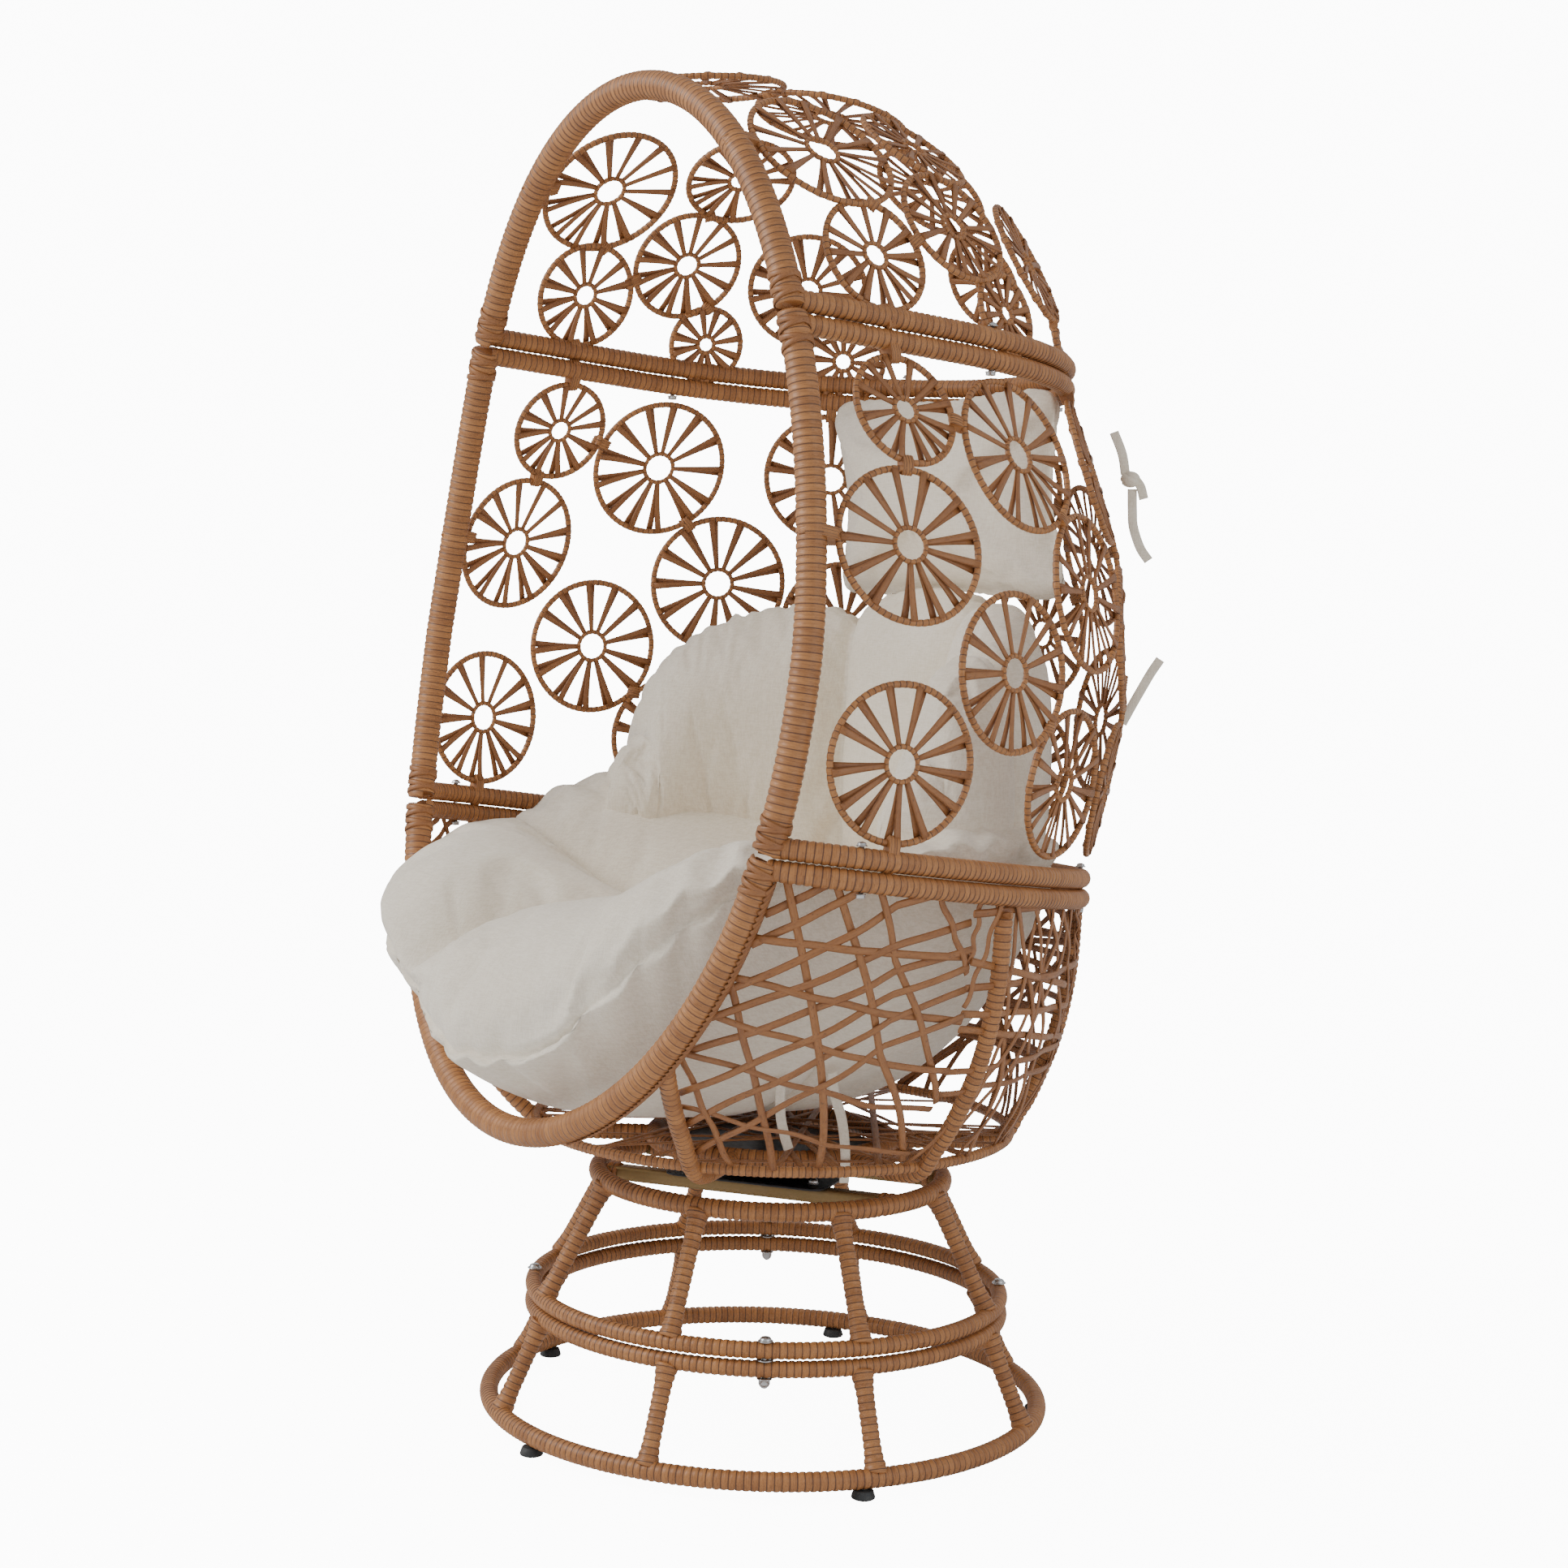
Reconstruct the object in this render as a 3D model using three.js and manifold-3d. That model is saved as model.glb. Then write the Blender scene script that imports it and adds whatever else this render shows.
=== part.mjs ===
// Free-standing swivel egg chair: a wrapped three-section egg on a two-tier ring base.
// Millimetres, +Z up, origin on the floor under the swivel axis, the egg's mouth towards -Y.
import * as THREE from 'three';
import { mergeVertices } from 'three/addons/utils/BufferGeometryUtils.js';
import Module from 'manifold-3d';

const wasm = await Module();
wasm.setup();

// ---- driving dimensions -------------------------------------------------------------------
const GAP = 0.3;                 // clearance between pieces that touch

const FOOT = { count: 5, first: 55.5, height: 11, radius: 14, stem: 4, stemLength: 18 };
const RING_A = { radius: 345, tube: 11.5, z: 22.5 };
const RING_B = { radius: 293, tube: 10, z: 137 };
const RING_C = { radius: 293, tube: 10, z: 159 };
const RING_D = { radius: 216.5, tube: 11.5, z: 302 };
const SPOKE = { count: 8, first: 31.14, tube: 10 };
const TIER_BOLT = { count: 4, first: 53.64, shank: 3, head: 7.5, headHeight: 5, spacer: 10 };
const WASHER = { radius: 9, thick: 1.5 };
const TIER_NUT = { radius: 7, height: 12, bore: 9.5, crown: 4 };

const BAR = { angle: 33.6, length: 396, width: 22, height: 18, offset: 78, z: 299 };
const PLATE = { size: 210, thick: 3, z: 309.8 };
const PLATE_BOLT = { along: 84, radius: 7, height: 7 };
const SWIVEL = { radius: 62, collar: 54, collarHeight: 5, lift: 1, deck: 4, deckGap: 2 };
const SEAT_RING = { radius: 146, tube: 13, z: 347.5 };

const MOUTH = { widest: 398.5, widestZ: 954, topZ: 1610, bottomZ: 394, tube: 17, footPower: 2.42 };
const MOUTH_LEAN = { y: -252, rake: 131, straightZ: 1300, span: 900 };
const JOINT_LOW = { z: 746.5, slope: 0.118, width: 445, widestY: -172, back: 368 };
const JOINT_HIGH = { z: 1330, slope: 0.06, width: 325, widestY: -20, back: 336 };
const BULGE = { width: 55, back: 75 };
const RAIL = 12;
const HOOP = { radius: 297, tube: 6.5, z: 368 };
const BASKET_CURVE = 2.7;
const RIB = {
  tube: 10,
  angles: [-54, 0, 54, 126, 180, 234],
  stations: [0.085, 0.35, 0.6, 0.8, 0.93],
  kneeIn: 20,
  kneeDrop: 14,
  frontZ: 520,                    // where the two front ribs leave the mouth tube
  frontBulge: 14,
};
const DOME = { height: 312, crownY: -60, reach: 397, power: 2.35, section: 1.6 };

const WHEEL = { rim: 8, hubRatio: 0.26, spokes: 4, sides: 10, strand: 10, thick: 7, inset: 5 };
const LASH = { reach: 16, overlap: 5, width: 14, thick: 10 };
const STRAND = { width: 9, thick: 3.5 };
const WEAVE = { perPanel: 3, fall: 0.12, rise: 0.65, levels: [0.35, 0.75], overrun: 0.05 };
const FLOOR_STRANDS = [-0.6, 0, 0.6];
const SECTION_BOLT = { places: [0.17, 0.72, 1.28, 1.83], shank: 3, head: 6.5, headHeight: 5, washer: 1.5 };
const HOLE_REACH = 60;            // how far a cut for a bolt runs beyond the pieces it clears

const SEAT_PAD = {
  y: -50,
  z: 392,
  profile: [[0, 0], [140, 0], [210, 35], [255, 100], [335, 190], [380.6, 245], [345, 272], [0, 285]],
};
const BACK_PAD = { outer: [362, 340], inner: [258, 215], y: -20, z: 682, height: 308, ends: 8 };
const PILLOW = { width: 380, height: 230, thick: 76, centre: [0, 258, 1150], lean: 6, corner: 60 };
const TIE = { width: 12, thick: 2.4 };
const TIES = {
  tie_floor_1: [[222, -154, 470], [212, -147, 448], [200, -136, 420], [190, -122, 395], [188, -114, 378]],
  tie_floor_2: [[248, -100, 478], [241, -90, 450], [236, -74, 418], [227, -60, 375], [219, -54, 338]],
  tie_pillow_tail: [
    [232, 352, 1170], [236, 350, 1145], [238, 351, 1125], [243, 359, 1100], [250, 368, 1084],
  ],
  tie_back: [[248, 368, 925], [255, 376, 945], [262, 384, 962]],
};
const KNOT = { radius: 13, flat: 0.8, centre: [230, 350, 1184] };

const WOVEN = { color: '#b07c50', roughness: 0.55, metalness: 0 };
const CANE = { color: '#a5744c', roughness: 0.6, metalness: 0 };
const GOLD = { color: '#8f7547', roughness: 0.45, metalness: 0.5 };
const BLACK = { color: '#16181c', roughness: 0.4, metalness: 0.6 };
const ZINC = { color: '#b9bcc0', roughness: 0.3, metalness: 0.9 };
const RUBBER = { color: '#2d3033', roughness: 0.8, metalness: 0 };
const CANVAS = { color: '#ddd6c8', roughness: 0.95, metalness: 0 };

const HALF_TURN = 180;
const UP = new THREE.Vector3(0, 0, 1);

// ---- small helpers ------------------------------------------------------------------------
const rad = THREE.MathUtils.degToRad;
const lerp = THREE.MathUtils.lerp;
const vec = (x, y, z) => new THREE.Vector3(x, y, z);
const polar = (radius, degrees, z) => vec(radius * Math.cos(rad(degrees)), radius * Math.sin(rad(degrees)), z);
const range = (count) => Array.from({ length: count }, (_, i) => i);

class FormulaCurve extends THREE.Curve {
  constructor(formula) {
    super();
    this.formula = formula;
  }

  getPoint(t) {
    return this.formula(t);
  }
}

function solid(geometry) {
  const plain = geometry.clone();
  plain.deleteAttribute('normal');
  plain.deleteAttribute('uv');
  const merged = mergeVertices(plain, 1e-3);
  const vertProperties = Float32Array.from(merged.attributes.position.array);
  const triVerts = Uint32Array.from(merged.index.array);
  return new wasm.Manifold(new wasm.Mesh({ numProp: 3, vertProperties, triVerts }));
}

function placed(geometry, matrix) {
  return solid(geometry.clone().applyMatrix4(matrix));
}

function geometryOf(body) {
  const mesh = body.getMesh();
  const geometry = new THREE.BufferGeometry();
  geometry.setAttribute('position', new THREE.BufferAttribute(mesh.vertProperties, 3));
  geometry.setIndex(new THREE.BufferAttribute(mesh.triVerts, 1));
  geometry.computeVertexNormals();
  return geometry;
}

const join = (bodies) => bodies.reduce((sum, body) => sum.add(body));
const cut = (body, tools) => tools.reduce((left, tool) => left.subtract(tool), body);

// The largest connected piece, which drops the stubs that a cut leaves on the far side of a tube.
function mainPiece(body) {
  const pieces = body.decompose();
  return pieces.reduce((best, piece) => (piece.volume() > best.volume() ? piece : best));
}

function sectionShape(radius, sides) {
  const corners = range(sides).map((i) => {
    const angle = (i + 0.5) * 2 * Math.PI / sides;
    return new THREE.Vector2(radius * Math.cos(angle), radius * Math.sin(angle));
  });
  return new THREE.Shape(corners);
}

function tubeAlong(curve, radius, steps, sides = 8) {
  const options = { steps, bevelEnabled: false, extrudePath: curve };
  return solid(new THREE.ExtrudeGeometry(sectionShape(radius, sides), options));
}

function rod(from, to, radius, sides = 6) {
  return tubeAlong(new THREE.LineCurve3(from, to), radius, 1, sides);
}

function ring(spec, segments, sides = 8, grow = 0) {
  const geometry = new THREE.TorusGeometry(spec.radius, spec.tube + grow, sides, segments);
  return placed(geometry, new THREE.Matrix4().makeTranslation(0, 0, spec.z));
}

// A turned piece standing on z, its profile given as [radius, height] pairs from axis to axis.
function turned(profile, x, y, z, segments = 12) {
  const points = profile.map(([r, h]) => new THREE.Vector2(r, h));
  const geometry = new THREE.LatheGeometry(points, segments);
  geometry.rotateX(Math.PI / 2);
  return placed(geometry, new THREE.Matrix4().makeTranslation(x, y, z));
}

function frameMatrix(origin, xAxis, yAxis, zAxis) {
  return new THREE.Matrix4().makeBasis(xAxis, yAxis, zAxis).setPosition(origin);
}

// A flat strip between two points, its flat side facing the given normal.
function strip(from, to, normal, width, thick) {
  const along = to.clone().sub(from);
  const length = along.length();
  const x = along.normalize();
  const y = normal.clone().cross(x).normalize();
  const z = x.clone().cross(y);
  const middle = from.clone().add(to).multiplyScalar(0.5);
  return placed(new THREE.BoxGeometry(length, width, thick), frameMatrix(middle, x, y, z));
}

// ---- the egg's surfaces -------------------------------------------------------------------
// The mouth is one upright oval that leans back: the angle 0 is its widest point on the right,
// 90 the top, 180 the left and 270 the bottom.
function mouthWidth(fall, above) {
  const power = above ? 1.5 + 0.8 * fall : MOUTH.footPower;
  return MOUTH.widest * Math.sqrt(Math.max(0, 1 - fall ** power));
}

function mouthY(z) {
  const below = Math.max(0, MOUTH_LEAN.straightZ - z) / MOUTH_LEAN.span;
  return MOUTH_LEAN.y - MOUTH_LEAN.rake * below ** 2;
}

function mouthPoint(degrees) {
  const rise = Math.sin(rad(degrees));
  const side = Math.cos(rad(degrees)) < 0 ? -1 : 1;
  const above = rise > 0;
  const reach = above ? MOUTH.topZ - MOUTH.widestZ : MOUTH.widestZ - MOUTH.bottomZ;
  const z = MOUTH.widestZ + reach * rise;
  return vec(side * mouthWidth(Math.abs(rise), above), mouthY(z), z);
}

function mouthAt(z) {
  const above = z > MOUTH.widestZ;
  const reach = above ? MOUTH.topZ - MOUTH.widestZ : MOUTH.widestZ - MOUTH.bottomZ;
  return vec(mouthWidth(Math.abs(z - MOUTH.widestZ) / reach, above), mouthY(z), z);
}

// A level of the egg is a plan outline of two half ellipses behind the mouth, on a plane that
// falls towards the back. t runs from the right post (0) past the back (1) to the left post (2).
function levelPoint(level, t) {
  const post = mouthAt(level.z);
  const half = Math.min(t, 2 - t);
  const width = Math.max(level.width, post.x * 1.01);
  const front = (level.widestY - post.y) / Math.sqrt(1 - (post.x / width) ** 2);
  const start = -Math.asin((level.widestY - post.y) / front);
  const angle = lerp(start, Math.PI / 2, half);
  const depth = angle < 0 ? front : level.back - level.widestY;
  const x = width * Math.cos(angle) * (t > 1 ? -1 : 1);
  const y = level.widestY + depth * Math.sin(angle);
  return vec(x, y, level.z - level.slope * (y - post.y));
}

function mix(a, b, t) {
  return Object.fromEntries(Object.keys(a).map((key) => [key, lerp(a[key], b[key], t)]));
}

function middleLevel(v) {
  const level = mix(JOINT_LOW, JOINT_HIGH, v);
  const swell = Math.sin(Math.PI * v);
  level.width += BULGE.width * swell;
  level.back += BULGE.back * swell;
  return level;
}

function middleSurface(t, v) {
  return levelPoint(middleLevel(v), t);
}

// The basket narrows from its top rail to the floor hoop along a power curve.
function basketSurface(t, u) {
  const top = levelPoint(JOINT_LOW, t);
  const bearing = Math.atan2(top.y, top.x);
  const low = vec(HOOP.radius * Math.cos(bearing), HOOP.radius * Math.sin(bearing), HOOP.z);
  const pull = u ** BASKET_CURVE;
  return vec(lerp(top.x, low.x, pull), lerp(top.y, low.y, pull), lerp(top.z, low.z, u));
}

// The dome is a run of arches from the mouth to the back: y places the arch, h climbs it.
function domeSurface(y, h, side) {
  const ts = range(81).map((i) => levelPoint(JOINT_HIGH, i / 80));
  const near = ts.reduce((best, p) => (Math.abs(p.y - y) < Math.abs(best.y - y) ? p : best));
  const swell = 1 - (Math.abs(y - DOME.crownY) / DOME.reach) ** DOME.power;
  const height = DOME.height * Math.sqrt(Math.max(0, swell));
  const x = side * near.x * Math.sqrt(Math.max(0, 1 - h ** DOME.section));
  return vec(x, y, near.z + height * h);
}

function surfaceNormal(surface, a, b, step) {
  const du = surface(a + step, b).sub(surface(a - step, b));
  const dv = surface(a, b + step).sub(surface(a, b - step));
  return du.cross(dv).normalize();
}

// ---- base ---------------------------------------------------------------------------------
function boltPlaces(spec, radius) {
  return range(spec.count).map((i) => polar(radius, spec.first + i * 360 / spec.count, 0));
}

function tier(low, high) {
  const spokes = range(SPOKE.count).map((i) => {
    const angle = SPOKE.first + i * 360 / SPOKE.count;
    return rod(polar(low.radius, angle, low.z), polar(high.radius, angle, high.z), SPOKE.tube, 5);
  });
  return join([ring(low, 24, 6), ring(high, 20, 6), ...spokes]);
}

const TIER_BOLT_PLACES = boltPlaces(TIER_BOLT, RING_B.radius);
const FOOT_PLACES = boltPlaces(FOOT, RING_A.radius);

function upright(place, low, high, radius, sides = 6) {
  return rod(vec(place.x, place.y, low), vec(place.x, place.y, high), radius, sides);
}

function tierBoltHole(place, spec) {
  const reach = 3 * spec.tube;
  return upright(place, spec.z - reach, spec.z + reach, TIER_BOLT.shank + 0.5);
}

function lowerTier() {
  const holes = TIER_BOLT_PLACES.map((p) => tierBoltHole(p, RING_B));
  const sockets = FOOT_PLACES.map((p) => upright(p, 0, RING_A.z + RING_A.tube - 2, FOOT.stem + 1, 8));
  return cut(tier(RING_A, RING_B), [...holes, ...sockets]);
}

function upperTier() {
  const holes = TIER_BOLT_PLACES.map((p) => tierBoltHole(p, RING_C));
  const bars = [-1, 1].map((side) => crossBar(side, GAP));
  return cut(tier(RING_C, RING_D), [...holes, ...bars]);
}

function barMatrix(side) {
  const turn = new THREE.Matrix4().makeRotationZ(rad(BAR.angle));
  return turn.multiply(new THREE.Matrix4().makeTranslation(0, side * BAR.offset, BAR.z));
}

function crossBar(side, grow = 0) {
  const box = new THREE.BoxGeometry(BAR.length + 2 * grow, BAR.width + 2 * grow, BAR.height + 2 * grow);
  return placed(box, barMatrix(side));
}

function lowerPlate() {
  const box = new THREE.BoxGeometry(PLATE.size, PLATE.size, PLATE.thick);
  const matrix = new THREE.Matrix4().makeRotationZ(rad(BAR.angle)).setPosition(0, 0, PLATE.z);
  const { collar: r, collarHeight: top } = SWIVEL;
  const collar = [[0, 0], [r, 0], [r, top], [0, top]];
  return placed(box, matrix).add(turned(collar, 0, 0, PLATE.z, 16));
}

function tierBolt(place) {
  const spacer = (RING_C.z - RING_C.tube - RING_B.z - RING_B.tube) / 2 - GAP;
  const seam = (RING_B.z + RING_C.z) / 2;
  const headZ = RING_C.z + RING_C.tube + GAP;
  const tip = RING_B.z - RING_B.tube - WASHER.radius;
  const shank = upright(place, tip, headZ + 1, TIER_BOLT.shank);
  const out = TIER_BOLT.spacer;
  const washer = turned([[0, -spacer], [out, -spacer], [out, spacer], [0, spacer]], place.x, place.y, seam, 8);
  const { head: r, headHeight: top } = TIER_BOLT;
  const { radius, thick } = WASHER;
  const head = [[0, 0], [radius, 0], [radius, thick], [r, thick], [r - 2, top], [0, top + 1]];
  return join([shank, washer, turned(head, place.x, place.y, headZ, 8)]);
}

function tierNut(place) {
  const low = RING_B.z - RING_B.tube - GAP;
  const r = TIER_BOLT.shank + GAP;
  const { radius: out, height, bore, crown } = TIER_NUT;
  const { radius: wide, thick } = WASHER;
  const profile = [[0, -height], [crown, 1 - height], [out, -out], [out, -thick], [wide, -thick], [wide, 0],
    [r, 0], [r, -bore], [0, -bore]];
  return turned(profile, place.x, place.y, low, 8);
}

function plateBolt(sideX, sideY) {
  const place = vec(sideX * PLATE_BOLT.along, sideY * BAR.offset, 0).applyAxisAngle(UP, rad(BAR.angle));
  const r = PLATE_BOLT.radius;
  const top = PLATE_BOLT.height;
  const profile = [[0, 0], [r, 0], [r, top - 3], [r - 3, top], [0, top]];
  return turned(profile, place.x, place.y, PLATE.z + PLATE.thick / 2 + GAP, 8);
}

function levellingFoot(place) {
  const r = FOOT.radius;
  const h = FOOT.height - GAP;
  const s = FOOT.stem;
  const stem = FOOT.height + FOOT.stemLength;
  const profile = [[0, 0], [r, 0], [r, 3], [r - 3, h], [s, h], [s, stem], [0, stem]];
  return turned(profile, place.x, place.y, 0, 8);
}

// ---- swivel -------------------------------------------------------------------------------
function swivelDrum() {
  const low = PLATE.z + SWIVEL.collarHeight + SWIVEL.lift;
  const deckZ = SEAT_RING.z - SEAT_RING.tube;
  const deckRadius = SEAT_RING.radius - SEAT_RING.tube - SWIVEL.deckGap;
  const rise = deckZ - low;
  const profile = [[0, 0], [SWIVEL.radius, 0], [SWIVEL.radius, rise], [deckRadius, rise],
    [deckRadius, rise + SWIVEL.deck], [0, rise + SWIVEL.deck]];
  return turned(profile, 0, 0, low, 16);
}

// ---- egg frames ---------------------------------------------------------------------------
// Everything above (+1) or below (-1) a joint's sloping plane, as a block to cut with.
function beyondJoint(joint, side) {
  const size = 1600;
  const block = new THREE.BoxGeometry(size, size, size);
  block.translate(0, 0, side * size / 2);
  const post = mouthAt(joint.z);
  const matrix = new THREE.Matrix4().makeRotationX(-Math.atan(joint.slope));
  matrix.setPosition(0, post.y, joint.z - side * GAP);
  return placed(block, matrix);
}

const angleAtJoint = (joint) => {
  const above = joint.z > MOUTH.widestZ;
  const reach = above ? MOUTH.topZ - MOUTH.widestZ : MOUTH.widestZ - MOUTH.bottomZ;
  return THREE.MathUtils.radToDeg(Math.asin((joint.z - MOUTH.widestZ) / reach));
};

const LOW_ANGLE = angleAtJoint(JOINT_LOW);
const HIGH_ANGLE = angleAtJoint(JOINT_HIGH);
const OVERRUN = 2;

function mouthTube(from, to, steps, grow = 0) {
  const curve = new FormulaCurve((t) => mouthPoint(lerp(from, to, t)));
  return tubeAlong(curve, MOUTH.tube + grow, steps, 7);
}

function rail(joint, lift, grow = 0) {
  const raise = vec(0, 0, lift * (RAIL + GAP));
  const curve = new FormulaCurve((t) => levelPoint(joint, 2 * t).add(raise));
  return tubeAlong(curve, RAIL + grow, 20, 6);
}

function sectionBoltPlaces(joint) {
  return SECTION_BOLT.places.map((t) => levelPoint(joint, t));
}

function boltHoles(joint) {
  const radius = SECTION_BOLT.shank + 1;
  return sectionBoltPlaces(joint).map((p) => upright(p, p.z - HOLE_REACH, p.z + HOLE_REACH, radius));
}

// Room for the head or the nut beyond the rails, for the weave that runs past it.
function boltRoom(joint) {
  const radius = SECTION_BOLT.head + 1;
  return sectionBoltPlaces(joint).map((p) => upright(p, p.z - HOLE_REACH, p.z + HOLE_REACH, radius, 8));
}

// A bolt, its washers and its nut as one turned piece through both rails.
function sectionBolt(place) {
  const { shank, head, headHeight, washer } = SECTION_BOLT;
  const reach = 2 * RAIL + washer;
  const end = reach + headHeight;
  const profile = [[0, -end], [head, -end], [head, -reach], [shank, -reach], [shank, reach], [head, reach],
    [head, end], [0, end]];
  return turned(profile, place.x, place.y, place.z, 8);
}

function basketFrame(grow = 0) {
  const arch = mouthTube(HALF_TURN - LOW_ANGLE - OVERRUN, 360 + LOW_ANGLE + OVERRUN, 18, grow);
  const body = arch.add(rail(JOINT_LOW, -1, grow));
  return cut(body, grow ? [] : [beyondJoint(JOINT_LOW, 1), ...boltHoles(JOINT_LOW)]);
}

function bearingPlace(degrees) {
  const wanted = rad(degrees);
  const steps = range(401).map((i) => i / 200);
  const miss = (t) => {
    const p = levelPoint(JOINT_LOW, t);
    const off = Math.atan2(p.y, p.x) - wanted;
    return Math.abs(Math.atan2(Math.sin(off), Math.cos(off)));
  };
  return steps.reduce((best, t) => (miss(t) < miss(best) ? t : best));
}

// A side or rear rib comes down the basket from its top rail.
function longRib(degrees) {
  const t = bearingPlace(degrees);
  return RIB.stations.map((u) => basketSurface(t, u));
}

// A front rib is short: it comes down from the mouth tube.
function shortRib(degrees) {
  const top = mouthAt(RIB.frontZ);
  top.x *= Math.sign(Math.cos(rad(degrees)));
  const hoop = polar(HOOP.radius, degrees, HOOP.z);
  const outward = vec(top.x, top.y, 0).normalize();
  return [0, 0.35, 0.7].map((s) => {
    return top.clone().lerp(hoop, s).addScaledVector(outward, RIB.frontBulge * Math.sin(Math.PI * s));
  });
}

function rib(degrees, grow = 0) {
  const inward = polar(SEAT_RING.radius, degrees, SEAT_RING.z);
  const knee = polar(HOOP.radius - RIB.kneeIn, degrees, HOOP.z - RIB.kneeDrop);
  const down = Math.sin(rad(degrees)) < -0.5 ? shortRib(degrees) : longRib(degrees);
  return tubeAlong(new THREE.CatmullRomCurve3([...down, knee, inward]), RIB.tube + grow, 6, 5);
}

function floorFrame(grow = 0) {
  const ribs = RIB.angles.map((angle) => rib(angle, grow));
  return join([ring(HOOP, 24, 4, grow), ring(SEAT_RING, 20, 6, grow), ...ribs]);
}

function middleFrame(grow = 0) {
  const right = mouthTube(LOW_ANGLE - OVERRUN, HIGH_ANGLE + OVERRUN, 5, grow);
  const left = mouthTube(HALF_TURN - HIGH_ANGLE - OVERRUN, HALF_TURN - LOW_ANGLE + OVERRUN, 5, grow);
  const body = join([right, left, rail(JOINT_LOW, 1, grow), rail(JOINT_HIGH, -1, grow)]);
  const ends = [beyondJoint(JOINT_LOW, -1), beyondJoint(JOINT_HIGH, 1)];
  return cut(body, grow ? [] : [...ends, ...boltHoles(JOINT_LOW), ...boltHoles(JOINT_HIGH)]);
}

function domeFrame(grow = 0) {
  const arch = mouthTube(HIGH_ANGLE - OVERRUN, HALF_TURN - HIGH_ANGLE + OVERRUN, 14, grow);
  const body = arch.add(rail(JOINT_HIGH, 1, grow));
  return cut(body, grow ? [] : [beyondJoint(JOINT_HIGH, -1), ...boltHoles(JOINT_HIGH)]);
}

// ---- wheel panels -------------------------------------------------------------------------
// A wheel is a cane rim joined to a hub by flat strands, lying on the egg's surface.
function wheelPlace(centre, normal, radius) {
  const outward = normal.clone();
  if (outward.dot(vec(centre.x, centre.y, centre.z - MOUTH.widestZ)) < 0) outward.negate();
  const x = UP.clone().cross(outward).normalize();
  const y = outward.clone().cross(x);
  return { centre: centre.clone().addScaledVector(outward, -WHEEL.inset), x, y, z: outward, radius };
}

function rimPoint(wheel, degrees, radius) {
  const point = wheel.centre.clone();
  point.addScaledVector(wheel.x, radius * Math.cos(rad(degrees)));
  return point.addScaledVector(wheel.y, radius * Math.sin(rad(degrees)));
}

// One wheel as a flat openwork plate: its rim, its spokes and its hub left round its windows.
function wheelShape(radius) {
  const shape = new THREE.Shape();
  const outline = range(WHEEL.sides).map((i) => i * 2 * Math.PI / WHEEL.sides);
  shape.setFromPoints(outline.map((a) => new THREE.Vector2(radius * Math.cos(a), radius * Math.sin(a))));
  const pitch = 2 * Math.PI / WHEEL.spokes;
  const inner = radius * WHEEL.hubRatio;
  const outer = radius - WHEEL.rim;
  range(WHEEL.spokes).forEach((i) => {
    const middle = (i + 0.5) * pitch;
    const wide = pitch / 2 - WHEEL.strand / 2 / outer;
    const narrow = pitch / 2 - WHEEL.strand / 2 / inner;
    const corners = [[inner, -narrow], [outer, -wide], [outer, wide], [inner, narrow]];
    const points = corners.map(([r, turn]) => {
      return new THREE.Vector2(r * Math.cos(middle + turn), r * Math.sin(middle + turn));
    });
    shape.holes.push(new THREE.Path(points));
  });
  return shape;
}

function wheelSolid(wheel) {
  const options = { depth: WHEEL.thick, steps: 1, bevelEnabled: false };
  const geometry = new THREE.ExtrudeGeometry(wheelShape(wheel.radius), options);
  geometry.translate(0, 0, -WHEEL.thick / 2);
  return placed(geometry, frameMatrix(wheel.centre, wheel.x, wheel.y, wheel.z));
}

function closest(pointsA, pointsB) {
  let best = { distance: Infinity };
  for (const a of pointsA) {
    for (const b of pointsB) {
      const distance = a.distanceTo(b);
      if (distance < best.distance) best = { a, b, distance };
    }
  }
  return best;
}

const rimPoints = (wheel) => range(60).map((i) => rimPoint(wheel, i * 6, wheel.radius - WHEEL.rim / 2));

// Short wraps tie each rim to the nearest one already placed, and to a frame tube beside it.
function bindings(wheels, frameCurves) {
  const ties = [];
  wheels.forEach((wheel, i) => {
    const spans = wheels.slice(0, i).map((other) => closest(rimPoints(wheel), rimPoints(other)));
    if (spans.length) {
      const near = spans.reduce((best, span) => (span.distance < best.distance ? span : best));
      ties.push(lash(near.a, near.b, wheel.z));
    }
    frameCurves.forEach((curve) => {
      const near = closest(rimPoints(wheel), curve);
      if (near.distance < LASH.reach) ties.push(lash(near.a, near.b, wheel.z));
    });
  });
  return ties;
}

function lash(from, to, normal) {
  const along = to.clone().sub(from);
  if (along.length() < 1) along.copy(UP);
  along.normalize();
  const start = from.clone().addScaledVector(along, -LASH.overlap);
  const end = to.clone().addScaledVector(along, LASH.overlap);
  return strip(start, end, normal, LASH.width, LASH.thick);
}

function panel(wheels, frameCurves, frames) {
  const body = join([...wheels.map(wheelSolid), ...bindings(wheels, frameCurves)]);
  return mainPiece(cut(body, frames));
}

// Wheels of the middle section: bearing round the egg from its right side (0) to the back (90),
// height and radius. The same wheels are mirrored onto the left.
const SIDE_WHEELS = [
  [-18.5, 1236, 68], [7, 1198, 94], [-19.5, 1085, 90], [-2, 948, 91], [21.6, 1038, 94],
  [-21.5, 846, 89], [15, 818, 88],
];
const REAR_WHEELS = [[45, 1190, 92], [47, 985, 89], [41, 805, 84], [69, 1088, 92], [67, 880, 92]];
const BACK_WHEELS = [[90, 1205, 80], [90, 985, 86], [90, 795, 84]];

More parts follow.
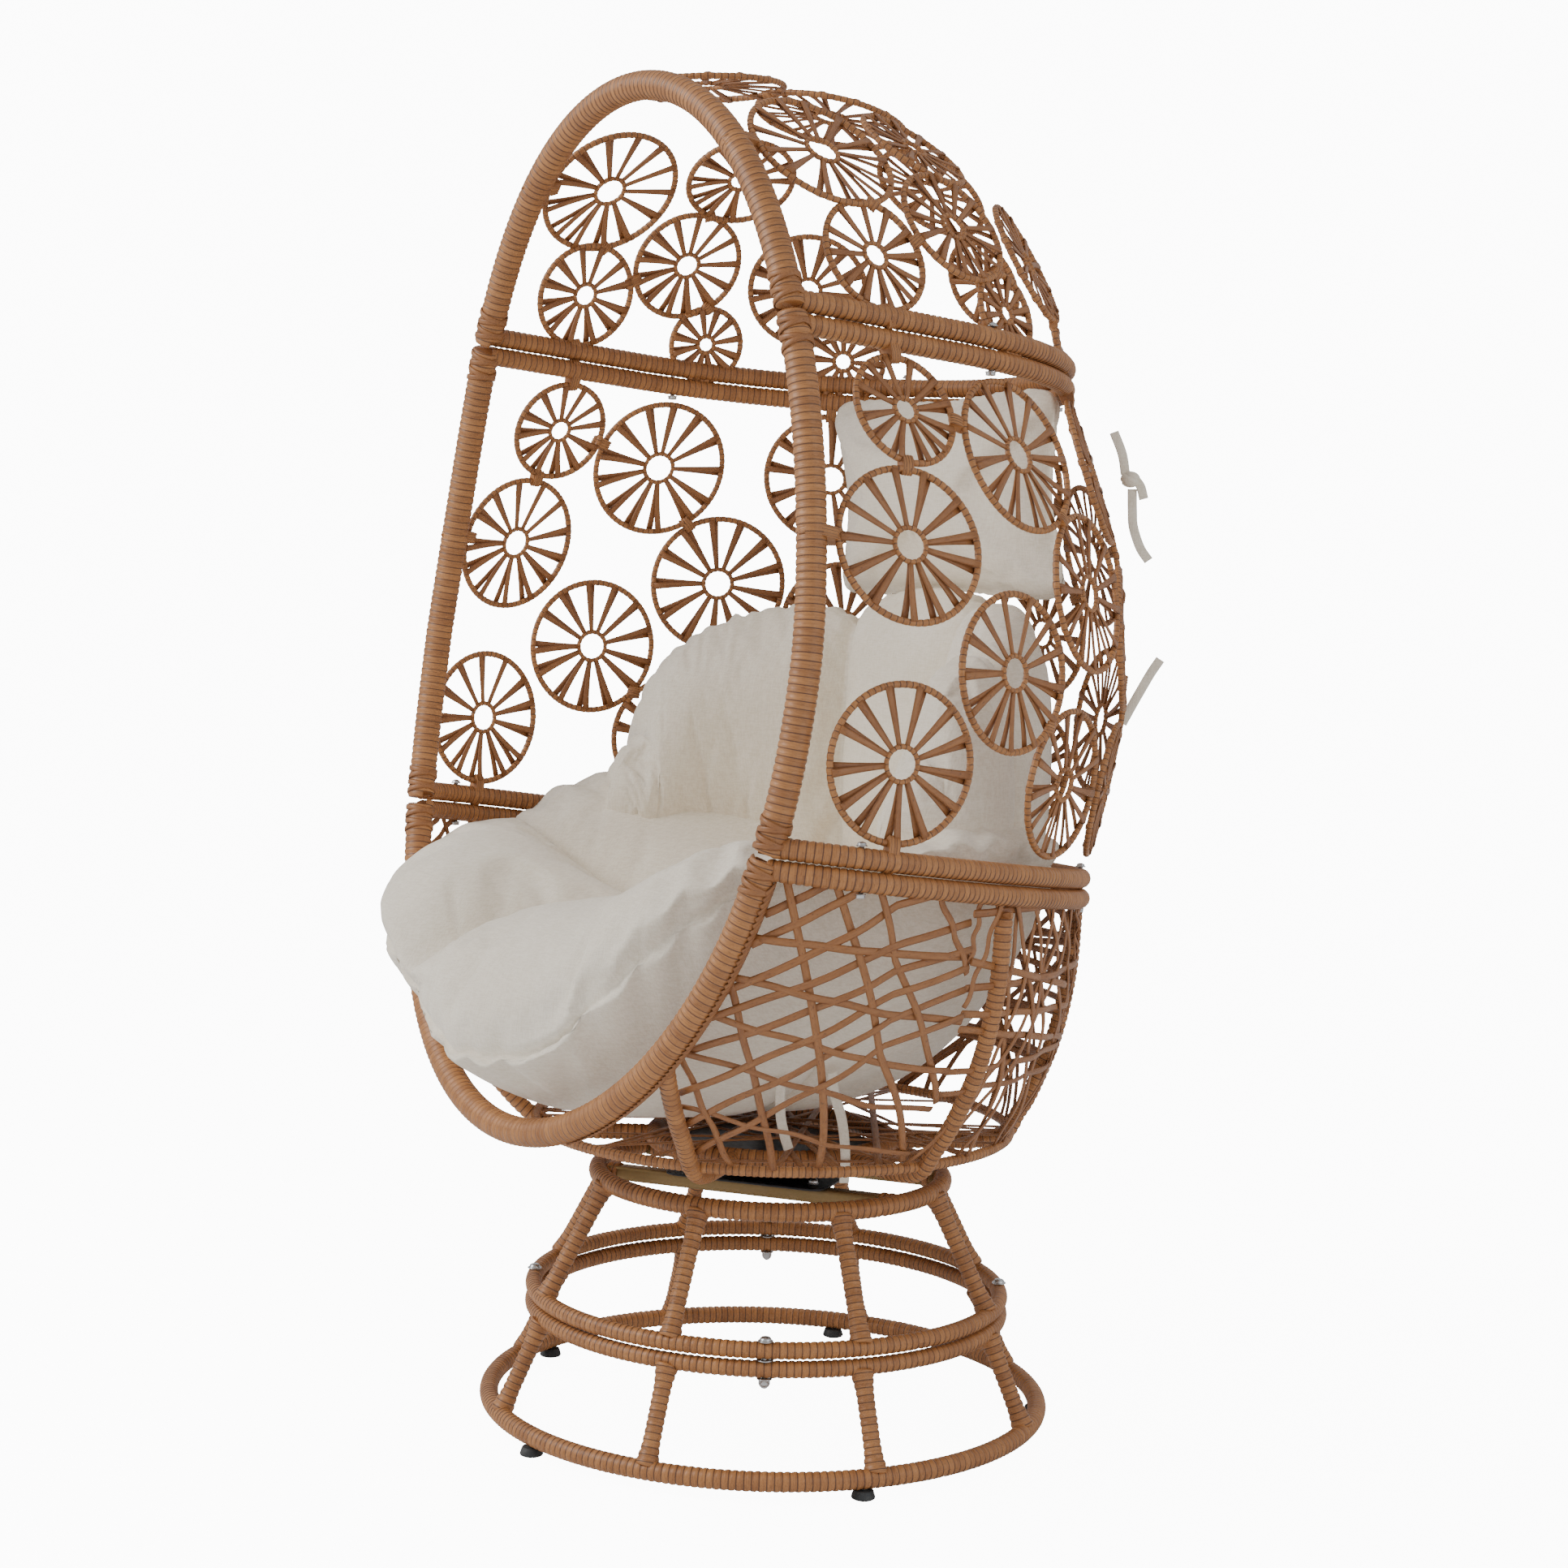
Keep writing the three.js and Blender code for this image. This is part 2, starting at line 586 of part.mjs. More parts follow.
function middlePlace(bearing, height) {
  let best = { miss: Infinity };
  for (const t of range(101).map((i) => i / 100)) {
    for (const v of range(61).map((i) => 0.02 + i * 0.016)) {
      const p = middleSurface(t, v);
      const turn = (THREE.MathUtils.radToDeg(Math.atan2(p.y, p.x)) - bearing) * 7;
      const miss = Math.hypot(turn, p.z - height);
      if (miss < best.miss) best = { miss, t, v, p };
    }
  }
  return best;
}

function middleWheel([bearing, height, radius], side) {
  const place = middlePlace(bearing, height);
  const t = side > 0 ? place.t : 2 - place.t;
  const centre = middleSurface(t, place.v);
  return wheelPlace(centre, surfaceNormal(middleSurface, t, place.v, 0.004), radius);
}

// Wheels of the dome: how far back, how far up the arch there, and radius.
const DOME_SIDE_WHEELS = [
  [-140, 0.67, 92], [-122, 0.27, 70], [15, 0.46, 76], [30, 0.8, 72], [178, 0.5, 80], [72, 0.16, 52],
  [238, 0.2, 58],
];
const DOME_CROWN_WHEELS = [[-150, 1, 96], [40, 1, 96], [205, 1, 78], [300, 1, 62]];

function domeWheel([y, h, radius], side) {
  const surface = (a, b) => domeSurface(a, b, side);
  if (h === 1) {
    const slope = domeSurface(y + 10, 1, 1).sub(domeSurface(y - 10, 1, 1));
    return wheelPlace(domeSurface(y, 1, 1), vec(1, 0, 0).cross(slope).normalize(), radius);
  }
  const du = surface(y + 12, h).sub(surface(y - 12, h));
  const dv = surface(y, h + 0.03).sub(surface(y, h - 0.03));
  return wheelPlace(surface(y, h), du.cross(dv).normalize(), radius);
}

function samples(formula, count) {
  return range(count + 1).map((i) => formula(i / count));
}

// ---- basket weave -------------------------------------------------------------------------
function weaveStrand(fromT, fromU, toT, toU) {
  const steps = 4;
  const points = samples((s) => basketSurface(lerp(fromT, toT, s), lerp(fromU, toU, s)), steps);
  const curve = new THREE.CatmullRomCurve3(points);
  return tubeAlong(curve, STRAND.width / 2, steps, 3);
}

function weave(fromT, toT) {
  const strands = [];
  const span = toT - fromT;
  const { perPanel, fall, rise, levels, overrun } = WEAVE;
  range(perPanel).forEach((i) => {
    const a = fromT + span * (i + 0.5) / perPanel;
    const b = a + span * 0.35;
    strands.push(weaveStrand(a, 0.02, a + span * fall, 0.99));
    strands.push(weaveStrand(b, 0.02, b - span * rise, 0.97));
  });
  levels.forEach((u) => {
    strands.push(weaveStrand(fromT - span * overrun, u - 0.05, toT + span * overrun, u + 0.04));
  });
  return join(strands);
}

function floorWeave() {
  const reach = HOOP.radius;
  const strands = [];
  FLOOR_STRANDS.forEach((offset) => {
    const half = reach * Math.sqrt(1 - offset ** 2) + 1;
    const place = offset * reach;
    strands.push(strip(vec(-half, place, HOOP.z), vec(half, place, HOOP.z), UP, STRAND.width, STRAND.thick));
    strands.push(strip(vec(place, -half, HOOP.z), vec(place, half, HOOP.z), UP, STRAND.width, STRAND.thick));
  });
  return join(strands);
}

// ---- soft pieces --------------------------------------------------------------------------
function seatPad() {
  return turned(SEAT_PAD.profile, 0, SEAT_PAD.y, SEAT_PAD.z, 16);
}

function backPad() {
  const shape = new THREE.Shape();
  const first = rad(-BACK_PAD.ends);
  const last = rad(HALF_TURN + BACK_PAD.ends);
  const at = ([a, b], angle) => new THREE.Vector2(a * Math.cos(angle), BACK_PAD.y + b * Math.sin(angle));
  const outer = range(17).map((i) => at(BACK_PAD.outer, lerp(first, last, i / 16)));
  const inner = range(17).map((i) => at(BACK_PAD.inner, lerp(last, first, i / 16)));
  shape.setFromPoints([...outer, ...inner]);
  const geometry = new THREE.ExtrudeGeometry(shape, { depth: BACK_PAD.height, steps: 1, bevelEnabled: false });
  return placed(geometry, new THREE.Matrix4().makeTranslation(0, 0, BACK_PAD.z));
}

function headPillow() {
  const { width, height, thick, corner } = PILLOW;
  const shape = new THREE.Shape();
  const x = width / 2 - corner;
  const z = height / 2 - corner;
  shape.absarc(x, z, corner, 0, Math.PI / 2);
  shape.absarc(-x, z, corner, Math.PI / 2, Math.PI);
  shape.absarc(-x, -z, corner, Math.PI, 1.5 * Math.PI);
  shape.absarc(x, -z, corner, 1.5 * Math.PI, 2 * Math.PI);
  const options = { depth: thick, steps: 1, bevelEnabled: false, curveSegments: 4 };
  const geometry = new THREE.ExtrudeGeometry(shape, options);
  geometry.translate(0, 0, -thick / 2);
  geometry.rotateX(Math.PI / 2);
  const matrix = new THREE.Matrix4().makeRotationX(rad(PILLOW.lean)).setPosition(...PILLOW.centre);
  return placed(geometry, matrix);
}

// A flat strap along a hand-laid route.
function tie(route) {
  const curve = new THREE.CatmullRomCurve3(route.map((p) => vec(...p)));
  const corners = range(8).map((i) => {
    const angle = (i + 0.5) * Math.PI / 4;
    return new THREE.Vector2(TIE.thick / 2 * Math.cos(angle), TIE.width / 2 * Math.sin(angle));
  });
  const options = { steps: 6, bevelEnabled: false, extrudePath: curve };
  return solid(new THREE.ExtrudeGeometry(new THREE.Shape(corners), options));
}

function knot() {
  const geometry = new THREE.SphereGeometry(KNOT.radius, 10, 6);
  geometry.scale(1, 1, KNOT.flat);
  return placed(geometry, new THREE.Matrix4().makeTranslation(...KNOT.centre));
}

// ---- assembly -----------------------------------------------------------------------------
const chair = new THREE.Group();

function add(name, body, look) {
  const mesh = new THREE.Mesh(geometryOf(body), new THREE.MeshStandardMaterial(look));
  mesh.name = name;
  chair.add(mesh);
}

add('base_lower_tier', lowerTier(), WOVEN);
add('base_upper_tier', upperTier(), WOVEN);
add('cross_bar_1', crossBar(-1), GOLD);
add('cross_bar_2', crossBar(1), GOLD);
add('swivel_lower_plate', lowerPlate(), BLACK);
TIER_BOLT_PLACES.forEach((place, i) => {
  add(`tier_bolt_${i + 1}`, tierBolt(place), ZINC);
  add(`tier_nut_${i + 1}`, tierNut(place), ZINC);
});
[[-1, -1], [1, -1], [1, 1], [-1, 1]].forEach(([sideX, sideY], i) => {
  add(`plate_bolt_${i + 1}`, plateBolt(sideX, sideY), ZINC);
});
FOOT_PLACES.forEach((place, i) => add(`levelling_foot_${i + 1}`, levellingFoot(place), RUBBER));

add('swivel_drum', swivelDrum(), BLACK);
const floor = floorFrame();
const basketSolid = basketFrame();
const fatBasket = basketFrame(GAP);
const fatFloor = floorFrame(GAP);
const weaveTools = [fatBasket, fatFloor, ...boltRoom(JOINT_LOW)];
add('basket_frame', basketSolid, WOVEN);
add('floor_frame', cut(floor, [fatBasket]), WOVEN);
[['right', 0.06, 0.62], ['back', 0.7, 1.3], ['left', 1.38, 1.94]].forEach(([name, from, to]) => {
  add(`basket_weave_${name}`, mainPiece(cut(weave(from, to), weaveTools)), CANE);
});
add('floor_weave', mainPiece(cut(floorWeave(), [fatFloor])), CANE);

add('middle_frame', middleFrame(), WOVEN);
add('dome_frame', domeFrame(), WOVEN);

const fatMiddle = middleFrame(GAP);
const fatDome = domeFrame(GAP);
const middleCurves = [
  ...[1, -1].map((side) => samples((s) => {
    const point = mouthPoint(lerp(LOW_ANGLE, HIGH_ANGLE, s));
    return vec(side * point.x, point.y, point.z);
  }, 40)),
  samples((s) => levelPoint(JOINT_LOW, 2 * s).add(vec(0, 0, RAIL)), 160),
  samples((s) => levelPoint(JOINT_HIGH, 2 * s).add(vec(0, 0, -RAIL)), 160),
];
const domeCurves = [
  samples((s) => mouthPoint(lerp(HIGH_ANGLE, HALF_TURN - HIGH_ANGLE, s)), 80),
  samples((s) => levelPoint(JOINT_HIGH, 2 * s).add(vec(0, 0, RAIL)), 160),
];
const middlePanels = {
  side_right: SIDE_WHEELS.map((w) => middleWheel(w, 1)),
  side_left: SIDE_WHEELS.map((w) => middleWheel(w, -1)),
  rear_right: [...REAR_WHEELS, ...BACK_WHEELS].map((w) => middleWheel(w, 1)),
  rear_left: REAR_WHEELS.map((w) => middleWheel(w, -1)),
};
const domePanels = {
  right: DOME_SIDE_WHEELS.map((w) => domeWheel(w, 1)),
  left: DOME_SIDE_WHEELS.map((w) => domeWheel(w, -1)),
  crown: DOME_CROWN_WHEELS.map((w) => domeWheel(w, 1)),
};

function addPanels(prefix, panels, curves, frames) {
  Object.entries(panels).forEach(([name, wheels]) => {
    add(`${prefix}_wheels_${name}`, panel(wheels, curves, frames), CANE);
  });
}

const middleTools = [fatMiddle, ...boltRoom(JOINT_LOW), ...boltRoom(JOINT_HIGH)];
addPanels('middle', middlePanels, middleCurves, middleTools);
addPanels('dome', domePanels, domeCurves, [fatDome, ...boltRoom(JOINT_HIGH)]);

[['low', JOINT_LOW], ['high', JOINT_HIGH]].forEach(([name, joint]) => {
  sectionBoltPlaces(joint).forEach((place, i) => add(`${name}_joint_bolt_${i + 1}`, sectionBolt(place), ZINC));
});

add('seat_cushion', seatPad(), CANVAS);
add('back_cushion', backPad(), CANVAS);
add('head_pillow', headPillow(), CANVAS);
Object.entries(TIES).forEach(([name, route]) => add(name, tie(route), CANVAS));
add('tie_pillow_knot', knot(), CANVAS);

export default chair;
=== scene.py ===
"""Looks of a free-standing swivel egg chair: cane-wrapped tubes, cane wheels, woven basket and cushions."""
import math

import bpy
import numpy as np
from mathutils import Matrix


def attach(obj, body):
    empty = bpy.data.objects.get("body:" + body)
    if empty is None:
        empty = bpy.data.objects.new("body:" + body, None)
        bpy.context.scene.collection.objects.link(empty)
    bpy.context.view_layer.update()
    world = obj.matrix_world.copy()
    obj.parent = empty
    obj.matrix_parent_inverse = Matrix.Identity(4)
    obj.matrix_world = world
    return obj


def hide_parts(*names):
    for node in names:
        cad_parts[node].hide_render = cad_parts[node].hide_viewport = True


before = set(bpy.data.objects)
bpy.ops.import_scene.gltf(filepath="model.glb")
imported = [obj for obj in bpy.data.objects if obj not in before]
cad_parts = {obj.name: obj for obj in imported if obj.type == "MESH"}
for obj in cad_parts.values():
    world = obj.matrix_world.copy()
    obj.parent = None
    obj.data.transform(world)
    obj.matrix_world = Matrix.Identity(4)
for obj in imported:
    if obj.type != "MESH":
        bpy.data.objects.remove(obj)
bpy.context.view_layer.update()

bl_info = {
    "name": "Swivel Egg Chair",
    "version": (1, 0, 0),
    "blender": (4, 5, 0),
    "location": "3D View > Sidebar > Egg Chair",
    "description": "Builds the wicker, hardware and cushions of a swivel egg chair round its frame",
    "category": "Add Mesh",
}

# ---- the chair's sizes, in metres ---------------------------------------------------------
GAP = 0.0003
RING_A = {"radius": 0.345, "tube": 0.0115, "z": 0.0225}
RING_B = {"radius": 0.293, "tube": 0.010, "z": 0.137}
RING_C = {"radius": 0.293, "tube": 0.010, "z": 0.159}
RING_D = {"radius": 0.2165, "tube": 0.0115, "z": 0.302}
SEAT_RING = {"radius": 0.146, "tube": 0.013, "z": 0.3475}
HOOP = {"radius": 0.297, "tube": 0.0065, "z": 0.368}
SPOKES = 8
SPOKE_FIRST = 31.14
SPOKE_TUBE = 0.0095
TIER_BOLT_FIRST = 53.64
FOOT_FIRST = 55.5
FEET = 5
BAR_ANGLE = math.radians(33.6)
BAR = {"length": 0.396, "width": 0.022, "height": 0.018, "offset": 0.078, "z": 0.299}
PLATE = {"size": 0.210, "thick": 0.003, "z": 0.3098, "bolt": 0.084}
SWIVEL_RADIUS = 0.062

MOUTH = {"widest": 0.3985, "widest_z": 0.954, "top_z": 1.610, "bottom_z": 0.394, "tube": 0.017}
MOUTH_FOOT_POWER = 2.42
MOUTH_LEAN = {"y": -0.252, "rake": 0.131, "straight_z": 1.300, "span": 0.900}
JOINT_LOW = {"z": 0.7465, "slope": 0.118, "width": 0.445, "widest_y": -0.172, "back": 0.368}
JOINT_HIGH = {"z": 1.330, "slope": 0.06, "width": 0.325, "widest_y": -0.020, "back": 0.336}
BULGE = {"width": 0.055, "back": 0.075}
RAIL = 0.012
SECTION_BOLTS = (0.17, 0.72, 1.28, 1.83)
BASKET_CURVE = 2.7
RIB_TUBE = 0.010
RIB_BEARINGS = (-54, 0, 54, 126, 180, 234)
FRONT_RIB = {"z": 0.520, "bulge": 0.014}
DOME = {"height": 0.312, "crown_y": -0.060, "reach": 0.397, "power": 2.35, "section": 1.6}

WHEEL_INSET = 0.005
SIDE_WHEELS = ((-18.5, 1.236, 0.068), (7, 1.198, 0.094), (-19.5, 1.085, 0.090), (-2, 0.948, 0.091),
               (21.6, 1.038, 0.094), (-21.5, 0.846, 0.089), (15, 0.818, 0.088))
REAR_WHEELS = ((45, 1.190, 0.092), (47, 0.985, 0.089), (41, 0.805, 0.084), (69, 1.088, 0.092),
               (67, 0.880, 0.092))
BACK_WHEELS = ((90, 1.205, 0.080), (90, 0.985, 0.086), (90, 0.795, 0.084))
DOME_SIDE_WHEELS = ((-0.140, 0.67, 0.092), (-0.122, 0.27, 0.070), (0.015, 0.46, 0.076), (0.030, 0.8, 0.072),
                    (0.178, 0.5, 0.080), (0.072, 0.16, 0.052), (0.238, 0.2, 0.058))
DOME_CROWN_WHEELS = ((-0.150, 1, 0.096), (0.040, 1, 0.096), (0.205, 1, 0.078), (0.300, 1, 0.062))

SIDE_RIB = 0.36
TURN_LENGTH = 0.075
ROWS_PER_TURN = 4
RIDGE = np.array([0.0, 0.8, 1.0, 0.8])
UP = np.array([0.0, 0.0, 1.0])
FORWARD = np.array([0.0, 1.0, 0.0])
CROSS_WRAP = (0.8, 4.6)


# ---- settings -----------------------------------------------------------------------------
def length_property(name, description, default):
    return bpy.props.FloatProperty(name=name, description=description, default=default, unit="LENGTH")


def power_property(name, description, default):
    return bpy.props.FloatProperty(name=name, description=description, default=default, unit="POWER")


def colour_property(name, description, default):
    return bpy.props.FloatVectorProperty(
        name=name, description=description, default=default, subtype="COLOR", size=4, min=0, max=1)


class WickerSettings(bpy.types.PropertyGroup):
    turn_pitch: length_property("Turn pitch", "Distance between turns of the cane round a tube", 0.0085)
    turn_swell: length_property("Turn swell", "How far a turn of cane stands above its groove", 0.0011)
    strand_width: length_property("Strand width", "Width of a flat cane strand", 0.0090)
    strand_thick: length_property("Strand thickness", "Thickness of a flat cane strand", 0.0026)
    light: colour_property("Cane light", "Colour of the pale fibres", (0.51, 0.222, 0.072, 1))
    flat_light: colour_property(
        "Flat cane light", "Colour of the pale fibres of flat strands", (0.36, 0.150, 0.050, 1))
    dark: colour_property("Cane dark", "Colour of the dark fibres", (0.24, 0.088, 0.027, 1))


class MetalSettings(bpy.types.PropertyGroup):
    bronze: colour_property("Bronze paint", "Colour of the cross bars", (0.30, 0.20, 0.085, 1))
    black: colour_property("Black paint", "Colour of the swivel", (0.012, 0.014, 0.018, 1))
    zinc: colour_property("Zinc", "Colour of the bolts", (0.62, 0.63, 0.64, 1))
    foot: colour_property("Foot", "Colour of the plastic feet", (0.028, 0.031, 0.034, 1))


class ClothSettings(bpy.types.PropertyGroup):
    light: colour_property("Canvas light", "Colour of the pale threads", (0.95, 0.870, 0.735, 1))
    dark: colour_property("Canvas dark", "Colour of the dark threads", (0.76, 0.672, 0.530, 1))
    thread: length_property("Thread", "Distance between threads of the canvas", 0.0013)


class StageSettings(bpy.types.PropertyGroup):
    floor: colour_property("Floor", "Colour of the floor", (0.93, 0.93, 0.93, 1))
    glow: bpy.props.FloatProperty(name="Glow", description="Light added to the seen floor", default=11.0)
    key: power_property("Key", "Power of the key light", 95)
    fill: power_property("Fill", "Power of the fill light", 22)


# ---- mesh parts ---------------------------------------------------------------------------
# A part is (points, corners, sizes, uv): flat corner indices, corners in each face, and a UV pair
# for each corner.
def merge(parts):
    offset = 0
    points, corners, sizes, uvs = [], [], [], []
    for p, c, s, uv in parts:
        points.append(p)
        corners.append(c + offset)
        sizes.append(s)
        uvs.append(uv)
        offset += len(p)
    return tuple(np.concatenate(x) for x in (points, corners, sizes, uvs))


def mesh_from(name, part):
    points, corners, sizes, uv = part
    mesh = bpy.data.meshes.new(name)
    mesh.vertices.add(len(points))
    mesh.vertices.foreach_set("co", points.astype(np.float32).ravel())
    mesh.loops.add(len(corners))
    mesh.loops.foreach_set("vertex_index", corners.astype(np.int32))
    mesh.polygons.add(len(sizes))
    starts = np.concatenate([[0], np.cumsum(sizes)[:-1]])
    mesh.polygons.foreach_set("loop_start", starts.astype(np.int32))
    mesh.polygons.foreach_set("use_smooth", sizes == 4)
    mesh.update(calc_edges=True)
    layer = mesh.uv_layers.new(name="cane")
    layer.data.foreach_set("uv", uv.astype(np.float32).ravel())
    mesh.validate()
    return mesh


def new_object(name, part, material, smooth=False):
    """An object in the scene with one material. Faces of four corners are smooth already, and smooth
    makes the others so too."""
    mesh = mesh_from(name, part)
    if smooth:
        mesh.polygons.foreach_set("use_smooth", np.ones(len(mesh.polygons), bool))
    mesh.materials.append(material)
    obj = bpy.data.objects.new(name, mesh)
    bpy.context.scene.collection.objects.link(obj)
    return obj


def piece(name, part, material, body, replaces=()):
    obj = new_object(name, part, material)
    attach(obj, body)
    if replaces:
        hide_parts(*replaces)
    return obj


def unit(vectors):
    return vectors / np.maximum(np.linalg.norm(vectors, axis=-1, keepdims=True), 1e-12)


def at_length(length, values, s):
    return np.stack([np.interp(s, length, values[:, k]) for k in range(3)], axis=-1)


def wrapped_tube(path, radius, reference, sides=14, closed=False, pitch=None, swell=None, seed=0, flat=1.0):
    """A tube wound with cane: path + (radius + swell * ridge) * (cos a * side + sin a * lift), where every
    column of the grid starts a share of a turn further along, so the ridges run round it as a helix.
    radius may be one number or one for each point of the path, and flat stretches it along side."""
    wicker = bpy.context.scene.egg_wicker
    pitch = pitch or wicker.turn_pitch
    swell = wicker.turn_swell if swell is None else swell
    line = np.vstack([path, path[:1]]) if closed else np.asarray(path)
    length = np.concatenate([[0], np.cumsum(np.linalg.norm(np.diff(line, axis=0), axis=1))])
    turns = max(3, round(length[-1] / pitch))
    if closed:
        ahead = np.vstack([line[-2:-1], line, line[1:2]])
        tangent = unit(ahead[2:] - ahead[:-2])
    else:
        tangent = unit(np.gradient(line, axis=0))
    rows = turns * ROWS_PER_TURN if closed else (turns - 1) * ROWS_PER_TURN + 1
    row, column = np.meshgrid(np.arange(rows), np.arange(sides), indexing="ij")
    s = (row / ROWS_PER_TURN + column / sides) / turns * length[-1]
    t = unit(at_length(length, tangent, s))
    side = unit(np.cross(t, np.broadcast_to(reference, t.shape)))
    lift = np.cross(side, t)
    angle = 2 * math.pi * column / sides
    thick = np.interp(s, length, np.broadcast_to(radius, len(length)))
    reach = (thick + swell * RIDGE[row % ROWS_PER_TURN])[..., None]
    section = flat * np.cos(angle)[..., None] * side + np.sin(angle)[..., None] * lift
    points = (at_length(length, line, s) + reach * section).reshape(-1, 3)
    return (points, *helix_faces(rows, sides, closed, seed))


def helix_faces(rows, sides, closed, seed):
    """Quads between the rows of a helical grid, whose last column joins the first one a turn further on,
    and a many-sided face at each open end."""
    last_row = rows if closed else rows - 1
    i, j = np.meshgrid(np.arange(last_row), np.arange(sides), indexing="ij")
    keep = np.ones(i.shape, bool) if closed else (j < sides - 1) | (i + ROWS_PER_TURN + 1 < rows)
    i, j = i[keep], j[keep]

    def index(a, b):
        a = a + (b == sides) * ROWS_PER_TURN
        return (a % rows) * sides + b % sides

    quads = np.stack([index(i, j), index(i + 1, j), index(i + 1, j + 1), index(i, j + 1)], axis=1)
    turn = np.stack([i, i + 1, i + 1, i], axis=1) / ROWS_PER_TURN
    share = np.stack([j, j, j + 1, j + 1], axis=1) / sides
    uv = np.stack([turn + share + seed, share], axis=-1).reshape(-1, 2)
    corners, sizes = quads.ravel(), np.full(len(quads), 4)
    if not closed:
        around = np.arange(sides)
        up = np.arange(1, ROWS_PER_TURN + 1)
        start = np.concatenate([around, up[::-1] * sides])
        low = rows - 1 - ROWS_PER_TURN
        end = np.concatenate([(rows - 1) * sides + around[::-1], (low + up - 1) * sides + sides - 1])
        corners = np.concatenate([corners, start, end])
        sizes = np.concatenate([sizes, [len(start), len(end)]])
        uv = np.vstack([uv, np.full((len(start) + len(end), 2), seed + 0.5)])
    return corners, sizes, uv


def strands(paths, normals, width, thick, seed=0, sides=6):
    """Flat cane strands: path + width/2 * cos a * across + thick/2 * sin a * normal, on K paths of M points
    at once. width may be one number or one for each point. U counts strands and adds metres along."""
    paths = np.asarray(paths, float)
    count, steps = paths.shape[:2]
    tangent = unit(np.gradient(paths, axis=1))
    across = unit(np.cross(tangent, normals))
    normal = np.cross(across, tangent)
    angle = (2 * math.pi * np.arange(sides) / sides)[:, None]
    half = np.broadcast_to(np.asarray(width) / 2, (count, steps))[..., None, None]
    ring = half * np.cos(angle) * across[:, :, None] + thick / 2 * np.sin(angle) * normal[:, :, None]
    points = (paths[:, :, None] + ring).reshape(-1, 3)
    k, i, j = np.meshgrid(np.arange(count), np.arange(steps - 1), np.arange(sides), indexing="ij")
    k, i, j = k.ravel(), i.ravel(), j.ravel()

    def index(a, b):
        return (k * steps + a) * sides + b % sides

    quads = np.stack([index(i, j), index(i + 1, j), index(i + 1, j + 1), index(i, j + 1)], axis=1)
    step = np.linalg.norm(np.diff(paths, axis=1), axis=2)
    along = np.concatenate([np.zeros((count, 1)), np.cumsum(step, axis=1)], axis=1)
    u = np.stack([along[k, i], along[k, i + 1], along[k, i + 1], along[k, i]], axis=1) + k[:, None] + seed
    v = np.stack([j, j, j + 1, j + 1], axis=1) / sides
    uv = np.stack([u, v], axis=-1).reshape(-1, 2)
    base = np.arange(count)[:, None] * steps * sides
    starts = (base + np.arange(sides)).ravel()
    ends = (base + (steps - 1) * sides + np.arange(sides)[::-1]).ravel()
    caps = np.concatenate([starts, ends])
    corners = np.concatenate([quads.ravel(), caps])
    sizes = np.concatenate([np.full(len(quads), 4), np.full(2 * count, sides)])
    uv = np.vstack([uv, np.full((len(caps), 2), seed + 0.5)])
    return points, corners, sizes, uv


def ring_quads(rows, columns):
    """The corners of every face between closed rings of points, one row of the grid after another."""
    i, j = (a.ravel() for a in np.meshgrid(np.arange(rows - 1), np.arange(columns), indexing="ij"))
    after = (j + 1) % columns
    return np.stack([i * columns + j, (i + 1) * columns + j, (i + 1) * columns + after, i * columns + after],
                    axis=1)


def polar_grid(down, columns):
    """Two arrays: the given values down the rows, and an angle across the columns of a closed ring."""
    return np.meshgrid(down, 2 * math.pi * np.arange(columns) / columns, indexing="ij")


def turned(profile, centre, segments=32, square=2.0, turn=0.0):
    """A turned piece: each (radius, height) of the profile carried round the axis through centre. A square
    above 2 gives a plan between a circle and a square: radius / (|cos|^n + |sin|^n)^(1/n)."""
    profile = np.asarray(profile, float)
    angle = 2 * math.pi * np.arange(segments) / segments
    shape = (np.abs(np.cos(angle)) ** square + np.abs(np.sin(angle)) ** square) ** (-1 / square)
    x = profile[1:-1, :1] * shape * np.cos(angle + turn)
    y = profile[1:-1, :1] * shape * np.sin(angle + turn)
    z = np.repeat(profile[1:-1, 1:], segments, axis=1)
    rings = np.stack([x, y, z], axis=-1).reshape(-1, 3)
    poles = np.array([[0, 0, profile[0, 1]], [0, 0, profile[-1, 1]]])
    points = np.vstack([rings, poles]) + centre
    rows = len(profile) - 2
    i, j = (a.ravel() for a in np.meshgrid(np.arange(rows - 1), np.arange(segments), indexing="ij"))
    after = (j + 1) % segments
    quads = np.stack([i * segments + j, i * segments + after, (i + 1) * segments + after,
                      (i + 1) * segments + j], axis=1)
    around = np.arange(segments)
    ahead = (around + 1) % segments
    pole = len(rings)
    bottom = np.stack([ahead, around, np.full(segments, pole)], axis=1)
    low = (rows - 1) * segments
    top = np.stack([low + around, low + ahead, np.full(segments, pole + 1)], axis=1)
    corners = np.concatenate([quads.ravel(), bottom.ravel(), top.ravel()])
    sizes = np.concatenate([np.full(len(quads), 4), np.full(2 * segments, 3)])
    return points, corners, sizes, np.zeros((len(corners), 2))


def softened(profile, radius=0.0006):
    """The profile with each of its corners cut back by a small chamfer."""
    profile = np.asarray(profile, float)
    before = unit(profile[:-2] - profile[1:-1])
    after = unit(profile[2:] - profile[1:-1])
    short = np.minimum(np.linalg.norm(profile[:-2] - profile[1:-1], axis=1),
                       np.linalg.norm(profile[2:] - profile[1:-1], axis=1))
    cut = np.minimum(radius, short * 0.4)[:, None]
    pairs = np.stack([profile[1:-1] + before * cut, profile[1:-1] + after * cut], axis=1)
    return np.vstack([profile[:1], pairs.reshape(-1, 2), profile[-1:]])


